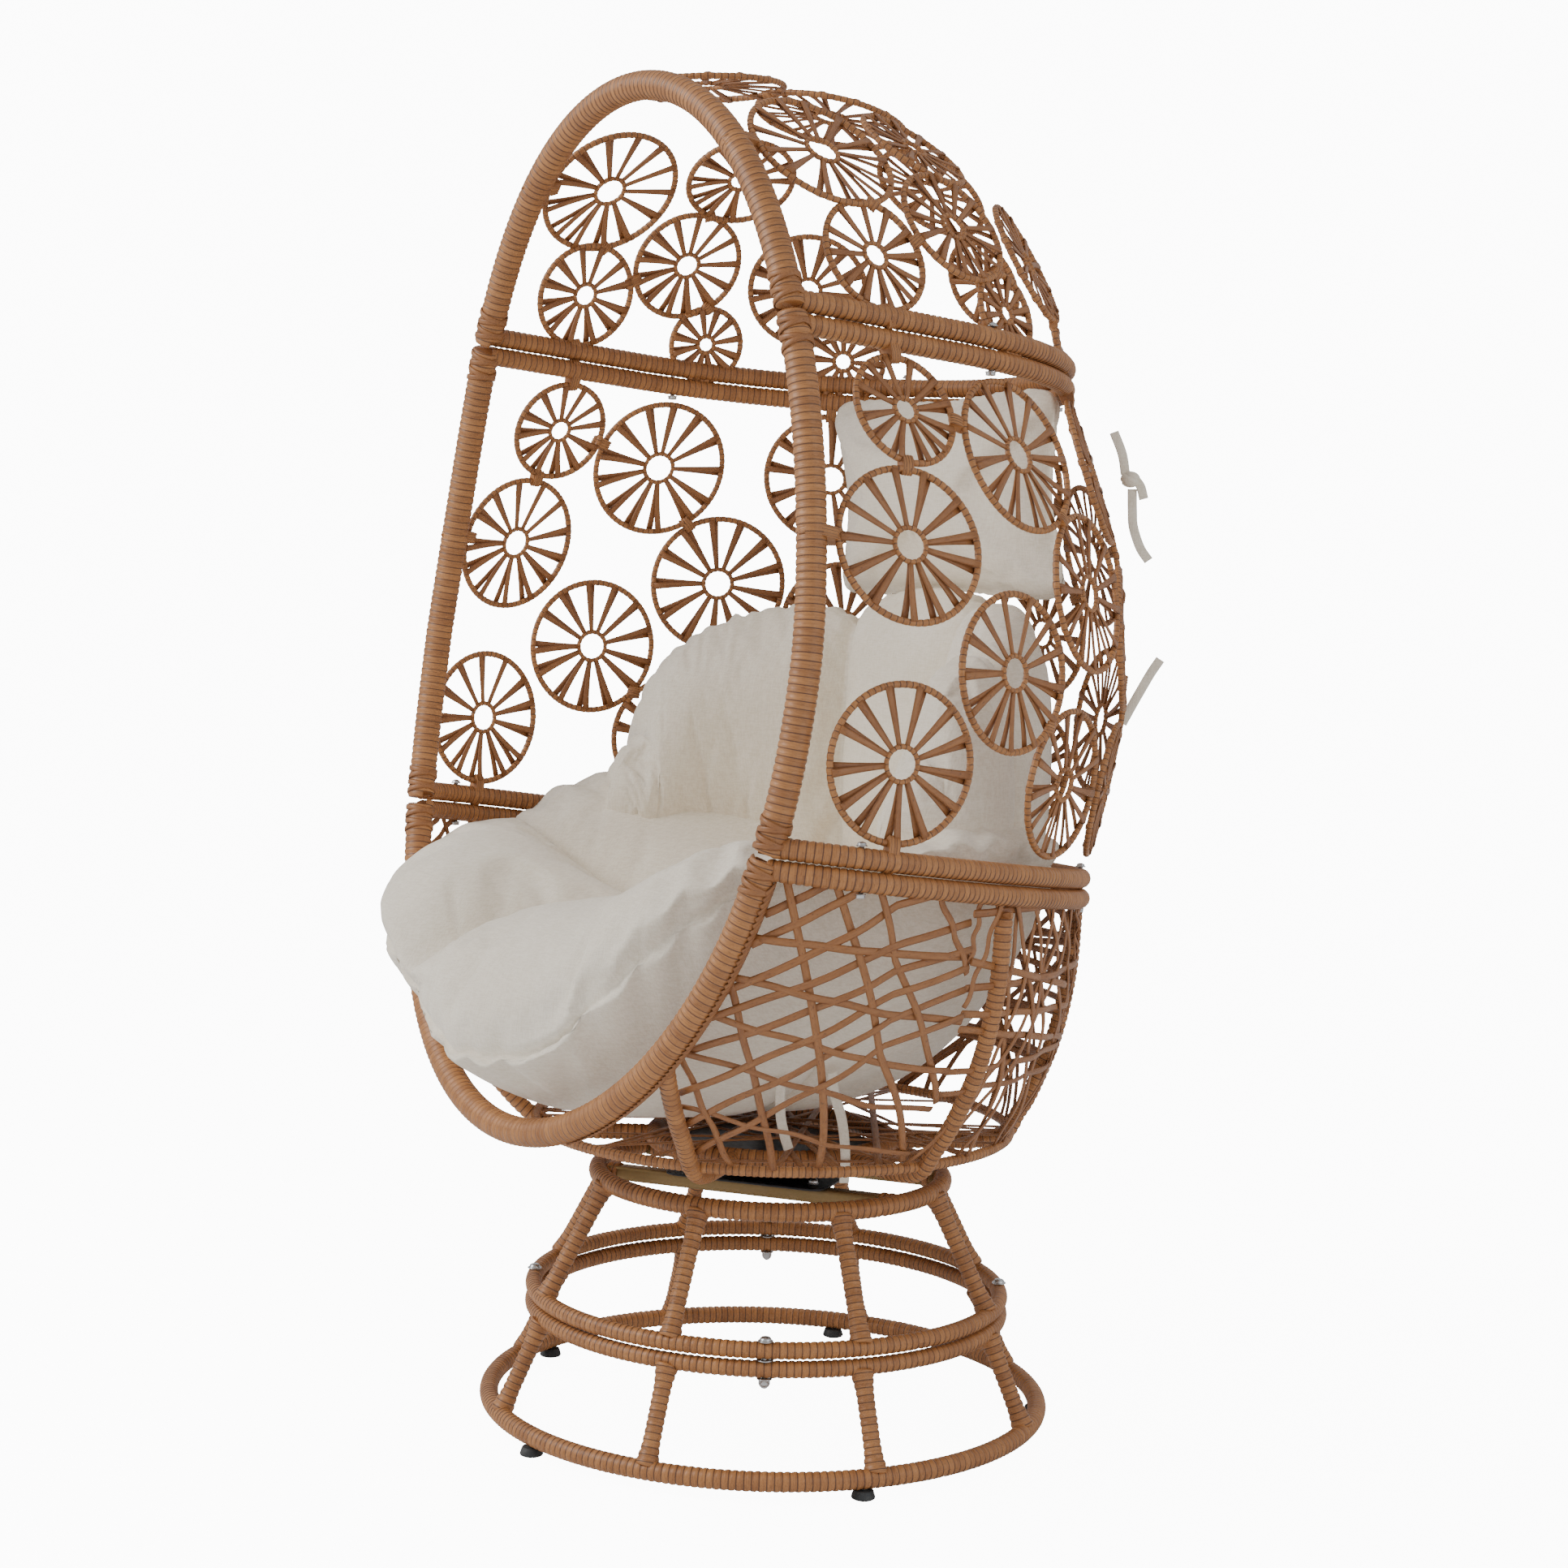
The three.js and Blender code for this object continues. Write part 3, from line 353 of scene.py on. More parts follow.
# ---- the egg's surfaces -------------------------------------------------------------------
def mouth_half_width(z):
    """Half the mouth's width: widest * sqrt(1 - fall^power), where fall runs 0 to 1 from the widest height
    to either end."""
    above = z > MOUTH["widest_z"]
    reach = np.where(above, MOUTH["top_z"] - MOUTH["widest_z"], MOUTH["widest_z"] - MOUTH["bottom_z"])
    fall = np.clip(np.abs(z - MOUTH["widest_z"]) / reach, 0, 1)
    power = np.where(above, 1.5 + 0.8 * fall, MOUTH_FOOT_POWER)
    return MOUTH["widest"] * np.sqrt(1 - fall ** power)


def mouth_y(z):
    below = np.maximum(0, MOUTH_LEAN["straight_z"] - z) / MOUTH_LEAN["span"]
    return MOUTH_LEAN["y"] - MOUTH_LEAN["rake"] * below ** 2


def mouth_point(degrees):
    """The mouth's centreline. Its widest point on the right is 0, the top 90, the left 180 and the
    bottom 270."""
    rise = np.sin(np.radians(degrees))
    reach = np.where(rise > 0, MOUTH["top_z"] - MOUTH["widest_z"], MOUTH["widest_z"] - MOUTH["bottom_z"])
    z = MOUTH["widest_z"] + reach * rise
    x = np.sign(np.cos(np.radians(degrees))) * mouth_half_width(z)
    return np.stack([x, mouth_y(z), z], axis=-1)


def level_point(level, t):
    """A level's plan outline: two half ellipses behind the mouth on a plane that falls to the back. t runs
    from the right post, 0, past the back, 1, to the left post, 2."""
    t = np.asarray(t, float)
    post_x, post_y = mouth_half_width(level["z"]), mouth_y(level["z"])
    width = np.maximum(level["width"], post_x * 1.01)
    front = (level["widest_y"] - post_y) / np.sqrt(1 - (post_x / width) ** 2)
    start = -np.arcsin((level["widest_y"] - post_y) / front)
    angle = start + (math.pi / 2 - start) * np.minimum(t, 2 - t)
    depth = np.where(angle < 0, front, level["back"] - level["widest_y"])
    x = width * np.cos(angle) * np.where(t > 1, -1, 1)
    y = level["widest_y"] + depth * np.sin(angle)
    return np.stack([x, y, level["z"] - level["slope"] * (y - post_y)], axis=-1)


def middle_surface(t, v):
    """The middle section between the two joints, bulging by sin(pi v)."""
    v = np.asarray(v, float)
    level = {key: JOINT_LOW[key] + (JOINT_HIGH[key] - JOINT_LOW[key]) * v for key in JOINT_LOW}
    level["width"] = level["width"] + BULGE["width"] * np.sin(math.pi * v)
    level["back"] = level["back"] + BULGE["back"] * np.sin(math.pi * v)
    return level_point(level, t)


def basket_surface(t, u):
    """The basket narrows from its top rail, u 0, to the floor hoop, u 1, by a power of u."""
    u = np.asarray(u, float)
    top = level_point(JOINT_LOW, t)
    bearing = np.arctan2(top[..., 1], top[..., 0])
    pull = np.maximum(u, 0) ** BASKET_CURVE
    x = top[..., 0] + (HOOP["radius"] * np.cos(bearing) - top[..., 0]) * pull
    y = top[..., 1] + (HOOP["radius"] * np.sin(bearing) - top[..., 1]) * pull
    return np.stack([x, y, top[..., 2] + (HOOP["z"] - top[..., 2]) * u], axis=-1)


HIGH_RAIL = level_point(JOINT_HIGH, np.linspace(0, 1, 200))


def dome_surface(y, h):
    """The dome's right half as arches from the mouth to the back: y places the arch and h climbs it."""
    x = np.interp(y, HIGH_RAIL[:, 1], HIGH_RAIL[:, 0])
    z = np.interp(y, HIGH_RAIL[:, 1], HIGH_RAIL[:, 2])
    swell = 1 - (np.abs(y - DOME["crown_y"]) / DOME["reach"]) ** DOME["power"]
    height = DOME["height"] * np.sqrt(np.maximum(0, swell))
    narrow = np.sqrt(np.maximum(0, 1 - h ** DOME["section"]))
    return np.stack([x * narrow, y + 0 * h, z + height * h], axis=-1)


def outward_normal(surface, a, b, step_a, step_b):
    across = surface(a + step_a, b) - surface(a - step_a, b)
    down = surface(a, b + step_b) - surface(a, b - step_b)
    normal = unit(np.cross(across, down))
    outward = surface(a, b) - np.array([0, 0, MOUTH["widest_z"]])
    return normal * np.sign(np.sum(normal * outward * [1, 1, 0.6], axis=-1, keepdims=True))


# ---- shader nodes -------------------------------------------------------------------------
def node(tree, kind, settings=None, **inputs):
    """Adds one node. An input is given by its name, or by its number as _0, and is a value or a socket."""
    made = tree.nodes.new(kind)
    for key, value in (settings or {}).items():
        setattr(made, key, value)
    for key, value in inputs.items():
        socket = made.inputs[int(key[1:])] if key.startswith("_") else made.inputs[key.replace("_", " ")]
        if isinstance(value, bpy.types.NodeSocket):
            tree.links.new(value, socket)
        else:
            socket.default_value = value
    return made


def maths(tree, operation, a, b=0.0, c=0.0):
    return node(tree, "ShaderNodeMath", {"operation": operation}, _0=a, _1=b, _2=c).outputs[0]


def blend_colours(tree, factor, a, b):
    return node(tree, "ShaderNodeMix", {"data_type": "RGBA"}, _0=factor, _6=a, _7=b).outputs[2]


def spread(tree, value, low, high, to_low=0.0, to_high=1.0):
    settings = {"interpolation_type": "SMOOTHSTEP"}
    ranged = node(tree, "ShaderNodeMapRange", settings, _0=value, _1=low, _2=high, _3=to_low, _4=to_high)
    return ranged.outputs[0]


def new_group(name, inputs, outputs):
    tree = bpy.data.node_groups.new(name, "ShaderNodeTree")
    for label, kind, default in inputs:
        socket = tree.interface.new_socket(name=label, in_out="INPUT", socket_type=kind)
        if default is not None:
            socket.default_value = default
    for label, kind in outputs:
        tree.interface.new_socket(name=label, in_out="OUTPUT", socket_type=kind)
    return tree, tree.nodes.new("NodeGroupInput").outputs, tree.nodes.new("NodeGroupOutput").inputs


FLOAT, COLOUR, VECTOR = "NodeSocketFloat", "NodeSocketColor", "NodeSocketVector"
FINISH = [("Color", COLOUR), ("Height", FLOAT), ("Rough", FLOAT)]


def cane_fibre_group():
    """Fibres along a cane strand: a tint for each strand, fine streaks, and short dark flecks."""
    inputs = [("Along", FLOAT, 0.0), ("Across", FLOAT, 0.0), ("Strand", FLOAT, 0.0), ("Light", COLOUR, None),
              ("Dark", COLOUR, None)]
    tree, given, made = new_group("cane fibre", inputs, FINISH)
    chance = node(tree, "ShaderNodeTexWhiteNoise", {"noise_dimensions": "1D"}, W=given["Strand"])
    tint = chance.outputs["Value"]
    offset = maths(tree, "MULTIPLY", given["Strand"], 3.7)
    across = maths(tree, "ADD", maths(tree, "MULTIPLY", given["Across"], 5.0), offset)
    along = maths(tree, "MULTIPLY", given["Along"], 30.0)
    place = node(tree, "ShaderNodeCombineXYZ", None, X=across, Y=along, Z=offset).outputs[0]
    streak = node(tree, "ShaderNodeTexNoise", None, Vector=place, Scale=1.6, Detail=3.0).outputs[0]
    close = node(tree, "ShaderNodeCombineXYZ", None, X=maths(tree, "MULTIPLY", across, 2.6),
                 Y=maths(tree, "MULTIPLY", along, 3.4), Z=offset).outputs[0]
    speckle = node(tree, "ShaderNodeTexNoise", None, Vector=close, Scale=1.9, Detail=1.0).outputs[0]
    fleck = spread(tree, speckle, 0.60, 0.72)
    streaked = spread(tree, streak, 0.35, 0.75, 0.0, 0.5)
    shade = maths(tree, "ADD", maths(tree, "MULTIPLY", tint, 0.42), streaked)
    colour = blend_colours(tree, shade, given["Light"], given["Dark"])
    colour = blend_colours(tree, maths(tree, "MULTIPLY", fleck, 0.55), colour, (0.10, 0.035, 0.014, 1))
    tree.links.new(colour, made["Color"])
    tree.links.new(maths(tree, "SUBTRACT", streak, maths(tree, "MULTIPLY", fleck, 0.5)), made["Height"])
    tree.links.new(maths(tree, "ADD", 0.36, maths(tree, "MULTIPLY", streak, 0.25)), made["Rough"])
    return tree


def canvas_group():
    """Plain canvas: crossed threads over the three planes, each shown where the surface faces it, with
    pale and dark threads mixed by long thin noise."""
    inputs = [("Vector", VECTOR, None), ("Thread", FLOAT, 0.0013), ("Light", COLOUR, None),
              ("Dark", COLOUR, None)]
    tree, given, made = new_group("canvas", inputs, FINISH)
    normal = node(tree, "ShaderNodeNewGeometry").outputs["Normal"]
    facing = node(tree, "ShaderNodeSeparateXYZ", None, Vector=normal)
    place = node(tree, "ShaderNodeSeparateXYZ", None, Vector=given["Vector"])
    waves = maths(tree, "DIVIDE", math.pi, given["Thread"])
    rows = [maths(tree, "ABSOLUTE", maths(tree, "SINE", maths(tree, "MULTIPLY", place.outputs[k], waves)))
            for k in range(3)]
    height = None
    for k in range(3):
        a, b = rows[(k + 1) % 3], rows[(k + 2) % 3]
        weave = maths(tree, "MAXIMUM", a, b)
        weight = maths(tree, "MULTIPLY", facing.outputs[k], facing.outputs[k])
        part = maths(tree, "MULTIPLY", weave, weight)
        height = part if height is None else maths(tree, "ADD", height, part)
    slubs = []
    for stretch in ((1, 1, 9), (9, 2, 1)):
        mapped = node(tree, "ShaderNodeMapping", None, Vector=given["Vector"])
        mapped.inputs["Scale"].default_value = [90 * s for s in stretch]
        slubs.append(node(tree, "ShaderNodeTexNoise", None, Vector=mapped.outputs[0], Scale=1.0, Detail=4.0,
                          Roughness=0.7).outputs[0])
    mottle = node(tree, "ShaderNodeTexNoise", None, Vector=given["Vector"], Scale=6.0, Detail=3.0).outputs[0]
    melange = spread(tree, maths(tree, "MULTIPLY", maths(tree, "ADD", slubs[0], slubs[1]), 0.5), 0.42, 0.60)
    shade = maths(tree, "ADD", maths(tree, "MULTIPLY", melange, 0.55),
                  maths(tree, "MULTIPLY", spread(tree, mottle, 0.35, 0.7), 0.3))
    tree.links.new(blend_colours(tree, shade, given["Light"], given["Dark"]), made["Color"])
    tree.links.new(maths(tree, "ADD", height, maths(tree, "MULTIPLY", melange, 0.6)), made["Height"])
    tree.links.new(maths(tree, "ADD", 0.82, maths(tree, "MULTIPLY", melange, 0.12)), made["Rough"])
    return tree


def worn_metal_group():
    """Paint or plating with faint mottling, fine scratches and dust."""
    inputs = [("Vector", VECTOR, None), ("Color", COLOUR, None), ("Rough", FLOAT, 0.4), ("Wear", FLOAT, 0.2)]
    tree, given, made = new_group("worn metal", inputs, FINISH)
    mottle = node(tree, "ShaderNodeTexNoise", None, Vector=given["Vector"], Scale=55.0, Detail=5.0).outputs[0]
    scratch_map = node(tree, "ShaderNodeMapping", None, Vector=given["Vector"])
    scratch_map.inputs["Scale"].default_value = (30, 400, 220)
    scratch = node(tree, "ShaderNodeTexNoise", None, Vector=scratch_map.outputs[0], Scale=2.0).outputs[0]
    wear = maths(tree, "MULTIPLY", spread(tree, mottle, 0.45, 0.75), given["Wear"])
    tree.links.new(blend_colours(tree, wear, given["Color"], (0.34, 0.32, 0.30, 1)), made["Color"])
    tree.links.new(maths(tree, "ADD", mottle, maths(tree, "MULTIPLY", scratch, 0.4)), made["Height"])
    uneven = maths(tree, "MULTIPLY", maths(tree, "SUBTRACT", scratch, 0.5), 0.25)
    tree.links.new(maths(tree, "ADD", given["Rough"], uneven), made["Rough"])
    return tree


def finish_material(material, group, bump, distance):
    """Feeds a group's colour, roughness and height to the material's Principled BSDF."""
    tree = material.node_tree
    shader = tree.nodes["Principled BSDF"]
    tree.links.new(group.outputs["Color"], shader.inputs["Base Color"])
    tree.links.new(group.outputs["Rough"], shader.inputs["Roughness"])
    height = group.outputs["Height"]
    bumped = node(tree, "ShaderNodeBump", None, Strength=bump, Distance=distance, Height=height)
    tree.links.new(bumped.outputs[0], shader.inputs["Normal"])
    return shader


def new_material(name):
    material = bpy.data.materials.new(name)
    material.use_nodes = True
    return material, material.node_tree


def cane_material(name, wound, group, light, dark):
    """wound: U counts turns and V goes round the tube. Otherwise U adds metres to the strand's number."""
    material, tree = new_material(name)
    laid = node(tree, "ShaderNodeUVMap", {"uv_map": "cane"}).outputs[0]
    uv = node(tree, "ShaderNodeSeparateXYZ", None, Vector=laid)
    strand = maths(tree, "FLOOR", uv.outputs[0])
    rest = maths(tree, "FRACT", uv.outputs[0])
    along = maths(tree, "MULTIPLY", uv.outputs[1], TURN_LENGTH) if wound else rest
    across = rest if wound else uv.outputs[1]
    fibre = node(tree, "ShaderNodeGroup", {"node_tree": group}, Along=along, Across=across, Strand=strand,
                 Light=light, Dark=dark)
    shader = finish_material(material, fibre, 0.35, 0.0006)
    if wound:
        # Painted shade: the grooves between turns of cane are darkened towards near-black brown.
        edge = maths(tree, "ABSOLUTE", maths(tree, "SUBTRACT", rest, 0.5))
        groove = spread(tree, edge, 0.36, 0.5)
        groove_painted_shade = blend_colours(tree, groove, fibre.outputs["Color"], (0.085, 0.034, 0.014, 1))
        tree.links.new(groove_painted_shade, shader.inputs["Base Color"])
    shader.inputs["Coat Weight"].default_value = 0.12
    shader.inputs["Coat Roughness"].default_value = 0.35
    return material


def metal_material(name, group, colour, rough, metallic, wear, bump=0.08):
    material, tree = new_material(name)
    place = node(tree, "ShaderNodeTexCoord").outputs["Object"]
    worn = node(tree, "ShaderNodeGroup", {"node_tree": group}, Vector=place, Color=colour, Rough=rough,
                Wear=wear)
    shader = finish_material(material, worn, bump, 0.0004)
    shader.inputs["Metallic"].default_value = metallic
    return material


def canvas_material(group):
    cloth = bpy.context.scene.egg_cloth
    material, tree = new_material("oatmeal canvas")
    place = node(tree, "ShaderNodeTexCoord").outputs["Object"]
    weave = node(tree, "ShaderNodeGroup", {"node_tree": group}, Vector=place, Thread=cloth.thread,
                 Light=cloth.light, Dark=cloth.dark)
    shader = finish_material(material, weave, 0.45, 0.0005)
    shader.inputs["Sheen Weight"].default_value = 0.25
    shader.inputs["Sheen Roughness"].default_value = 0.6
    return material


MATERIALS = {}
ZINC_EDGE = 0.0004


def make_materials():
    wicker, metal = bpy.context.scene.egg_wicker, bpy.context.scene.egg_metal
    fibre, canvas, worn = cane_fibre_group(), canvas_group(), worn_metal_group()
    MATERIALS["wrap"] = cane_material("wrapped cane", True, fibre, wicker.light, wicker.dark)
    MATERIALS["strand"] = cane_material("flat cane", False, fibre, wicker.flat_light, wicker.dark)
    MATERIALS["canvas"] = canvas_material(canvas)
    MATERIALS["bronze"] = metal_material("bronze paint", worn, metal.bronze, 0.42, 0.55, 0.05)
    MATERIALS["black"] = metal_material("black steel", worn, metal.black, 0.38, 0.2, 0.06)
    MATERIALS["zinc"] = metal_material("bright zinc", worn, metal.zinc, 0.24, 0.95, 0.15)
    MATERIALS["foot"] = metal_material("foot plastic", worn, metal.foot, 0.6, 0.0, 0.12)


# ---- wicker frames ------------------------------------------------------------------------
def circle(spec, count=240):
    angle = 2 * math.pi * np.arange(count) / count
    x, y = spec["radius"] * np.cos(angle), spec["radius"] * np.sin(angle)
    return np.stack([x, y, np.full(count, spec["z"])], axis=1)


def polar(radius, degrees, z):
    angle = math.radians(degrees)
    return np.array([radius * math.cos(angle), radius * math.sin(angle), z])


def line_between(a, b, count=60):
    share = np.linspace(0, 1, count)[:, None]
    return a + (b - a) * share


def flared(radius, length, count=60, flare=0.5, reach=0.016):
    """A radius for each point of a line: radius * (1 + flare * exp(-(distance to the nearer end / reach)^2)),
    since the wraps run onto the next tube there."""
    distance = np.minimum(np.linspace(0, length, count), np.linspace(length, 0, count))
    return radius * (1 + flare * np.exp(-(distance / reach) ** 2))


def ring_part(spec, sides, seed):
    return wrapped_tube(circle(spec), spec["tube"] - 0.0008, UP, sides, closed=True, seed=seed)


def tier_parts(low, high, seed):
    """Two wrapped rings joined by leaning spokes whose ends swell onto the rings."""
    parts = [ring_part(low, 14, seed), ring_part(high, 14, seed + 500)]
    for k in range(SPOKES):
        degrees = SPOKE_FIRST + k * 360 / SPOKES
        foot = polar(low["radius"], degrees, low["z"])
        line = line_between(foot, polar(high["radius"], degrees, high["z"]))
        radius = flared(SPOKE_TUBE, np.linalg.norm(line[-1] - line[0]), flare=0.42, reach=0.020)
        tangential = polar(1, degrees + 90, 0)
        parts.append(wrapped_tube(line, radius, tangential, 12, seed=seed + 1000 + 40 * k))
    return parts


def joint_degrees(joint):
    above = joint["z"] > MOUTH["widest_z"]
    reach = MOUTH["top_z"] - MOUTH["widest_z"] if above else MOUTH["widest_z"] - MOUTH["bottom_z"]
    return math.degrees(math.asin((joint["z"] - MOUTH["widest_z"]) / reach))


def mouth_part(first, last, seed):
    path = mouth_point(np.linspace(first, last, 700))
    return wrapped_tube(path, MOUTH["tube"] - 0.001, FORWARD, 18, seed=seed)


def rail_part(joint, side, seed):
    path = level_point(joint, np.linspace(0, 2, 500)) + UP * side * (RAIL + GAP)
    return wrapped_tube(path, RAIL - 0.0009, UP, 14, seed=seed)


def short_rib_points(bearing):
    """A front rib comes down from the mouth tube to the floor hoop, bowed outward by sin(pi share)."""
    top = np.array([mouth_half_width(FRONT_RIB["z"]) * np.sign(math.cos(math.radians(bearing))),
                    mouth_y(FRONT_RIB["z"]), FRONT_RIB["z"]])
    share = np.array([0, 0.35, 0.7])[:, None]
    outward = unit(top * [1, 1, 0])
    return top + (polar(HOOP["radius"], bearing, HOOP["z"]) - top) * share + outward * (
        FRONT_RIB["bulge"] * np.sin(math.pi * share))


def rib_path(bearing):
    ts = np.linspace(0, 2, 801)
    rail = level_point(JOINT_LOW, ts)
    wanted = (bearing + 180) % 360 - 180
    miss = np.abs((np.degrees(np.arctan2(rail[:, 1], rail[:, 0])) - wanted + 180) % 360 - 180)
    t = ts[np.argmin(miss)]
    down = basket_surface(np.full(5, t), np.array([0.085, 0.35, 0.6, 0.8, 0.93]))
    if math.sin(math.radians(bearing)) < -0.5:
        down = short_rib_points(bearing)
    knee = polar(HOOP["radius"] - 0.020, bearing, HOOP["z"] - 0.014)
    inner = polar(SEAT_RING["radius"], bearing, SEAT_RING["z"])
    return smooth_path(np.vstack([down, knee, inner]), 120)


def smooth_path(points, count):
    """A Catmull-Rom curve through the points: between b and c, with a before them and d after,
    (2b + (c - a) s + (2a - 5b + 4c - d) s^2 + (3b - a - 3c + d) s^3) / 2."""
    points = np.asarray(points, float)
    padded = np.vstack([2 * points[0] - points[1], points, 2 * points[-1] - points[-2]])
    place = np.linspace(0, len(points) - 1 - 1e-9, count)
    k = place.astype(int)
    s = (place - k)[:, None]
    a, b, c, d = (padded[k + n] for n in range(4))
    square, cube = 2 * a - 5 * b + 4 * c - d, 3 * b - a - 3 * c + d
    return 0.5 * (2 * b + (c - a) * s + square * s ** 2 + cube * s ** 3)


def cross_wrap(path, radius, reference, seed, turns=3, width=0.007):
    """Flat strands crossing in an X round a tube: two opposite helices lying on it."""
    share = np.linspace(0, 1, 26 * turns)
    length = np.concatenate([[0], np.cumsum(np.linalg.norm(np.diff(path, axis=0), axis=1))])
    centre = at_length(length, path, share * length[-1])
    tangent = unit(np.gradient(centre, axis=0))
    side = unit(np.cross(tangent, reference))
    lift = np.cross(side, tangent)
    paths, normals = [], []
    for way in (1, -1):
        angle = (way * 2 * math.pi * turns * share)[:, None]
        normal = np.cos(angle) * side + np.sin(angle) * lift
        paths.append(centre + normal * radius)
        normals.append(normal)
    return strands(paths, normals, width, 0.0022, seed=seed)


def frame_joint_wraps(seed):
    """Crossed strands over the mouth tube just above and below each joint, listed by section."""
    wraps = {"basket": [], "middle": [], "dome": []}
    near, far = CROSS_WRAP
    for joint, below, above in ((JOINT_LOW, "basket", "middle"), (JOINT_HIGH, "middle", "dome")):
        base = joint_degrees(joint)
        for section, first, last in ((above, base + near, base + far), (below, base - far, base - near)):
            for mirrored in (False, True):
                degrees = np.linspace(first, last, 30)
                path = mouth_point(180 - degrees if mirrored else degrees)
                wraps[section].append(cross_wrap(path, MOUTH["tube"] + 0.0006, FORWARD, seed, 2))
                seed += 7
    return wraps


# ---- cane wheels --------------------------------------------------------------------------
def wheel_place(centre, normal, radius):
    outward = unit(normal)
    x = unit(np.cross(UP, outward))
    y = np.cross(outward, x)
    return {"centre": centre - outward * WHEEL_INSET, "x": x, "y": y, "z": outward, "radius": radius}


def middle_wheel(bearing, height, radius, side):
    """The wheel whose centre lies on the middle surface at that bearing and height."""
    t, v = np.meshgrid(np.linspace(0, 1, 101), 0.02 + 0.016 * np.arange(61), indexing="ij")
    p = middle_surface(t, v)
    turn = (np.degrees(np.arctan2(p[..., 1], p[..., 0])) - bearing) * 0.007
    best = np.unravel_index(np.argmin(np.hypot(turn, p[..., 2] - height)), t.shape)
    a = t[best] if side > 0 else 2 - t[best]
    normal = outward_normal(middle_surface, a, v[best], 0.004, 0.004)
    return wheel_place(middle_surface(a, v[best]), normal, radius)


def dome_wheel(y, h, radius, side):
    if h == 1:
        slope = dome_surface(y + 0.010, 1) - dome_surface(y - 0.010, 1)
        return wheel_place(dome_surface(y, 1), np.cross([1, 0, 0], slope), radius)
    normal = outward_normal(dome_surface, y, h, 0.012, 0.03)
    mirror = np.array([side, 1, 1])
    return wheel_place(dome_surface(y, h) * mirror, normal * mirror, radius)


def wheel_points(wheel, radius, angle, lift=0.0):
    """Points at radius and angle on a wheel, whose face is crowned to follow the egg."""
    radius, angle, lift = np.broadcast_arrays(radius, angle, lift)
    crown = -0.35 * radius ** 2
    return (wheel["centre"] + (radius * np.cos(angle))[..., None] * wheel["x"]
            + (radius * np.sin(angle))[..., None] * wheel["y"] + (crown + lift)[..., None] * wheel["z"])


def wheel_parts(wheel, rng, seed):
    """A wrapped rim and hub, and spokes that are pairs of flat strands, close together at the hub and
    apart at the rim, where one passes in front and the other behind."""
    radius = wheel["radius"]
    rim, hub = radius - 0.0034, radius * 0.215
    angle = 2 * math.pi * np.arange(72) / 72
    parts = [
        wrapped_tube(wheel_points(wheel, rim, angle), 0.0036, wheel["z"], 8, closed=True, pitch=0.0078,
                     swell=0.0005, seed=seed),
        wrapped_tube(wheel_points(wheel, hub, angle[::2]), 0.0026, wheel["z"], 6, closed=True, pitch=0.0068,
                     swell=0.0006, seed=seed + 90),
    ]
    count = 13 if radius > 0.075 else 12
    turns = 2 * math.pi * (np.arange(count) + rng.uniform(-0.12, 0.12, count)) / count + rng.uniform(0, 1)
    share = np.linspace(0, 1, 6)
    reach = hub - 0.002 + (rim + 0.0015 - hub) * share
    spreads = rng.uniform(0.014, 0.048, count)
    for way in (1, -1):
        twist = turns[:, None] + way * (0.012 + spreads[:, None] * share)
        lift = way * (0.0008 + 0.0034 * share ** 2)
        paths = wheel_points(wheel, reach + 0 * twist, twist, lift + 0 * twist)
        width = 0.0058 + 0.0036 * share
        parts.append(strands(paths, wheel["z"], width, 0.0022, seed=seed + 200 + 20 * way))
    return parts


def nearest(a, b):
    distance = np.linalg.norm(a[:, None] - b[None], axis=-1)
    i, j = np.unravel_index(np.argmin(distance), distance.shape)
    return a[i], b[j], distance[i, j]


def lash_part(a, b, normal, seed, extra=0.006, thick=0.0052):
    """A short flattened wrap over two tubes that touch, wound across the line between them."""
    middle = (a + b) / 2
    toward = b - a
    if np.linalg.norm(toward) < 1e-3:
        toward = np.cross(normal, UP)
    toward = unit(toward)
    wound = unit(np.cross(normal, toward))
    half = 0.0085
    path = line_between(middle - wound * half, middle + wound * half, 12)
    flat = (np.linalg.norm(b - a) / 2 + extra) / thick
    return wrapped_tube(path, thick, normal, 12, pitch=0.0034, swell=0.0005, seed=seed, flat=flat)


def binding_parts(wheels, curves, seed):
    """Lashes where neighbouring rims meet, and where a rim meets a frame tube."""
    angle = np.radians(np.arange(0, 360, 5))
    rims = [wheel_points(w, w["radius"] - 0.0034, angle) for w in wheels]
    parts = []
    for i, wheel in enumerate(wheels):
        for j in range(i):
            a, b, distance = nearest(rims[i], rims[j])
            if distance < 0.017:
                parts.append(lash_part(a, b, wheel["z"], seed + 9 * len(parts)))
        for curve, tube in curves:
            a, b, distance = nearest(rims[i], curve)
            if distance < tube + 0.012:
                toward = unit(b - a)
                parts.append(lash_part(a - toward * 0.002, b + toward * tube * 0.6, wheel["z"],
                                       seed + 9 * len(parts), thick=tube * 0.72))
    return parts


def middle_curves():
    low, high = joint_degrees(JOINT_LOW), joint_degrees(JOINT_HIGH)
    degrees = np.linspace(low, high, 120)
    ts = np.linspace(0, 2, 300)
    return [(mouth_point(degrees), MOUTH["tube"]), (mouth_point(180 - degrees), MOUTH["tube"]),
            (level_point(JOINT_LOW, ts) + UP * RAIL, RAIL), (level_point(JOINT_HIGH, ts) - UP * RAIL, RAIL)]


def dome_curves():
    high = joint_degrees(JOINT_HIGH)
    return [(mouth_point(np.linspace(high, 180 - high, 200)), MOUTH["tube"]),
            (level_point(JOINT_HIGH, np.linspace(0, 2, 300)) + UP * RAIL, RAIL)]


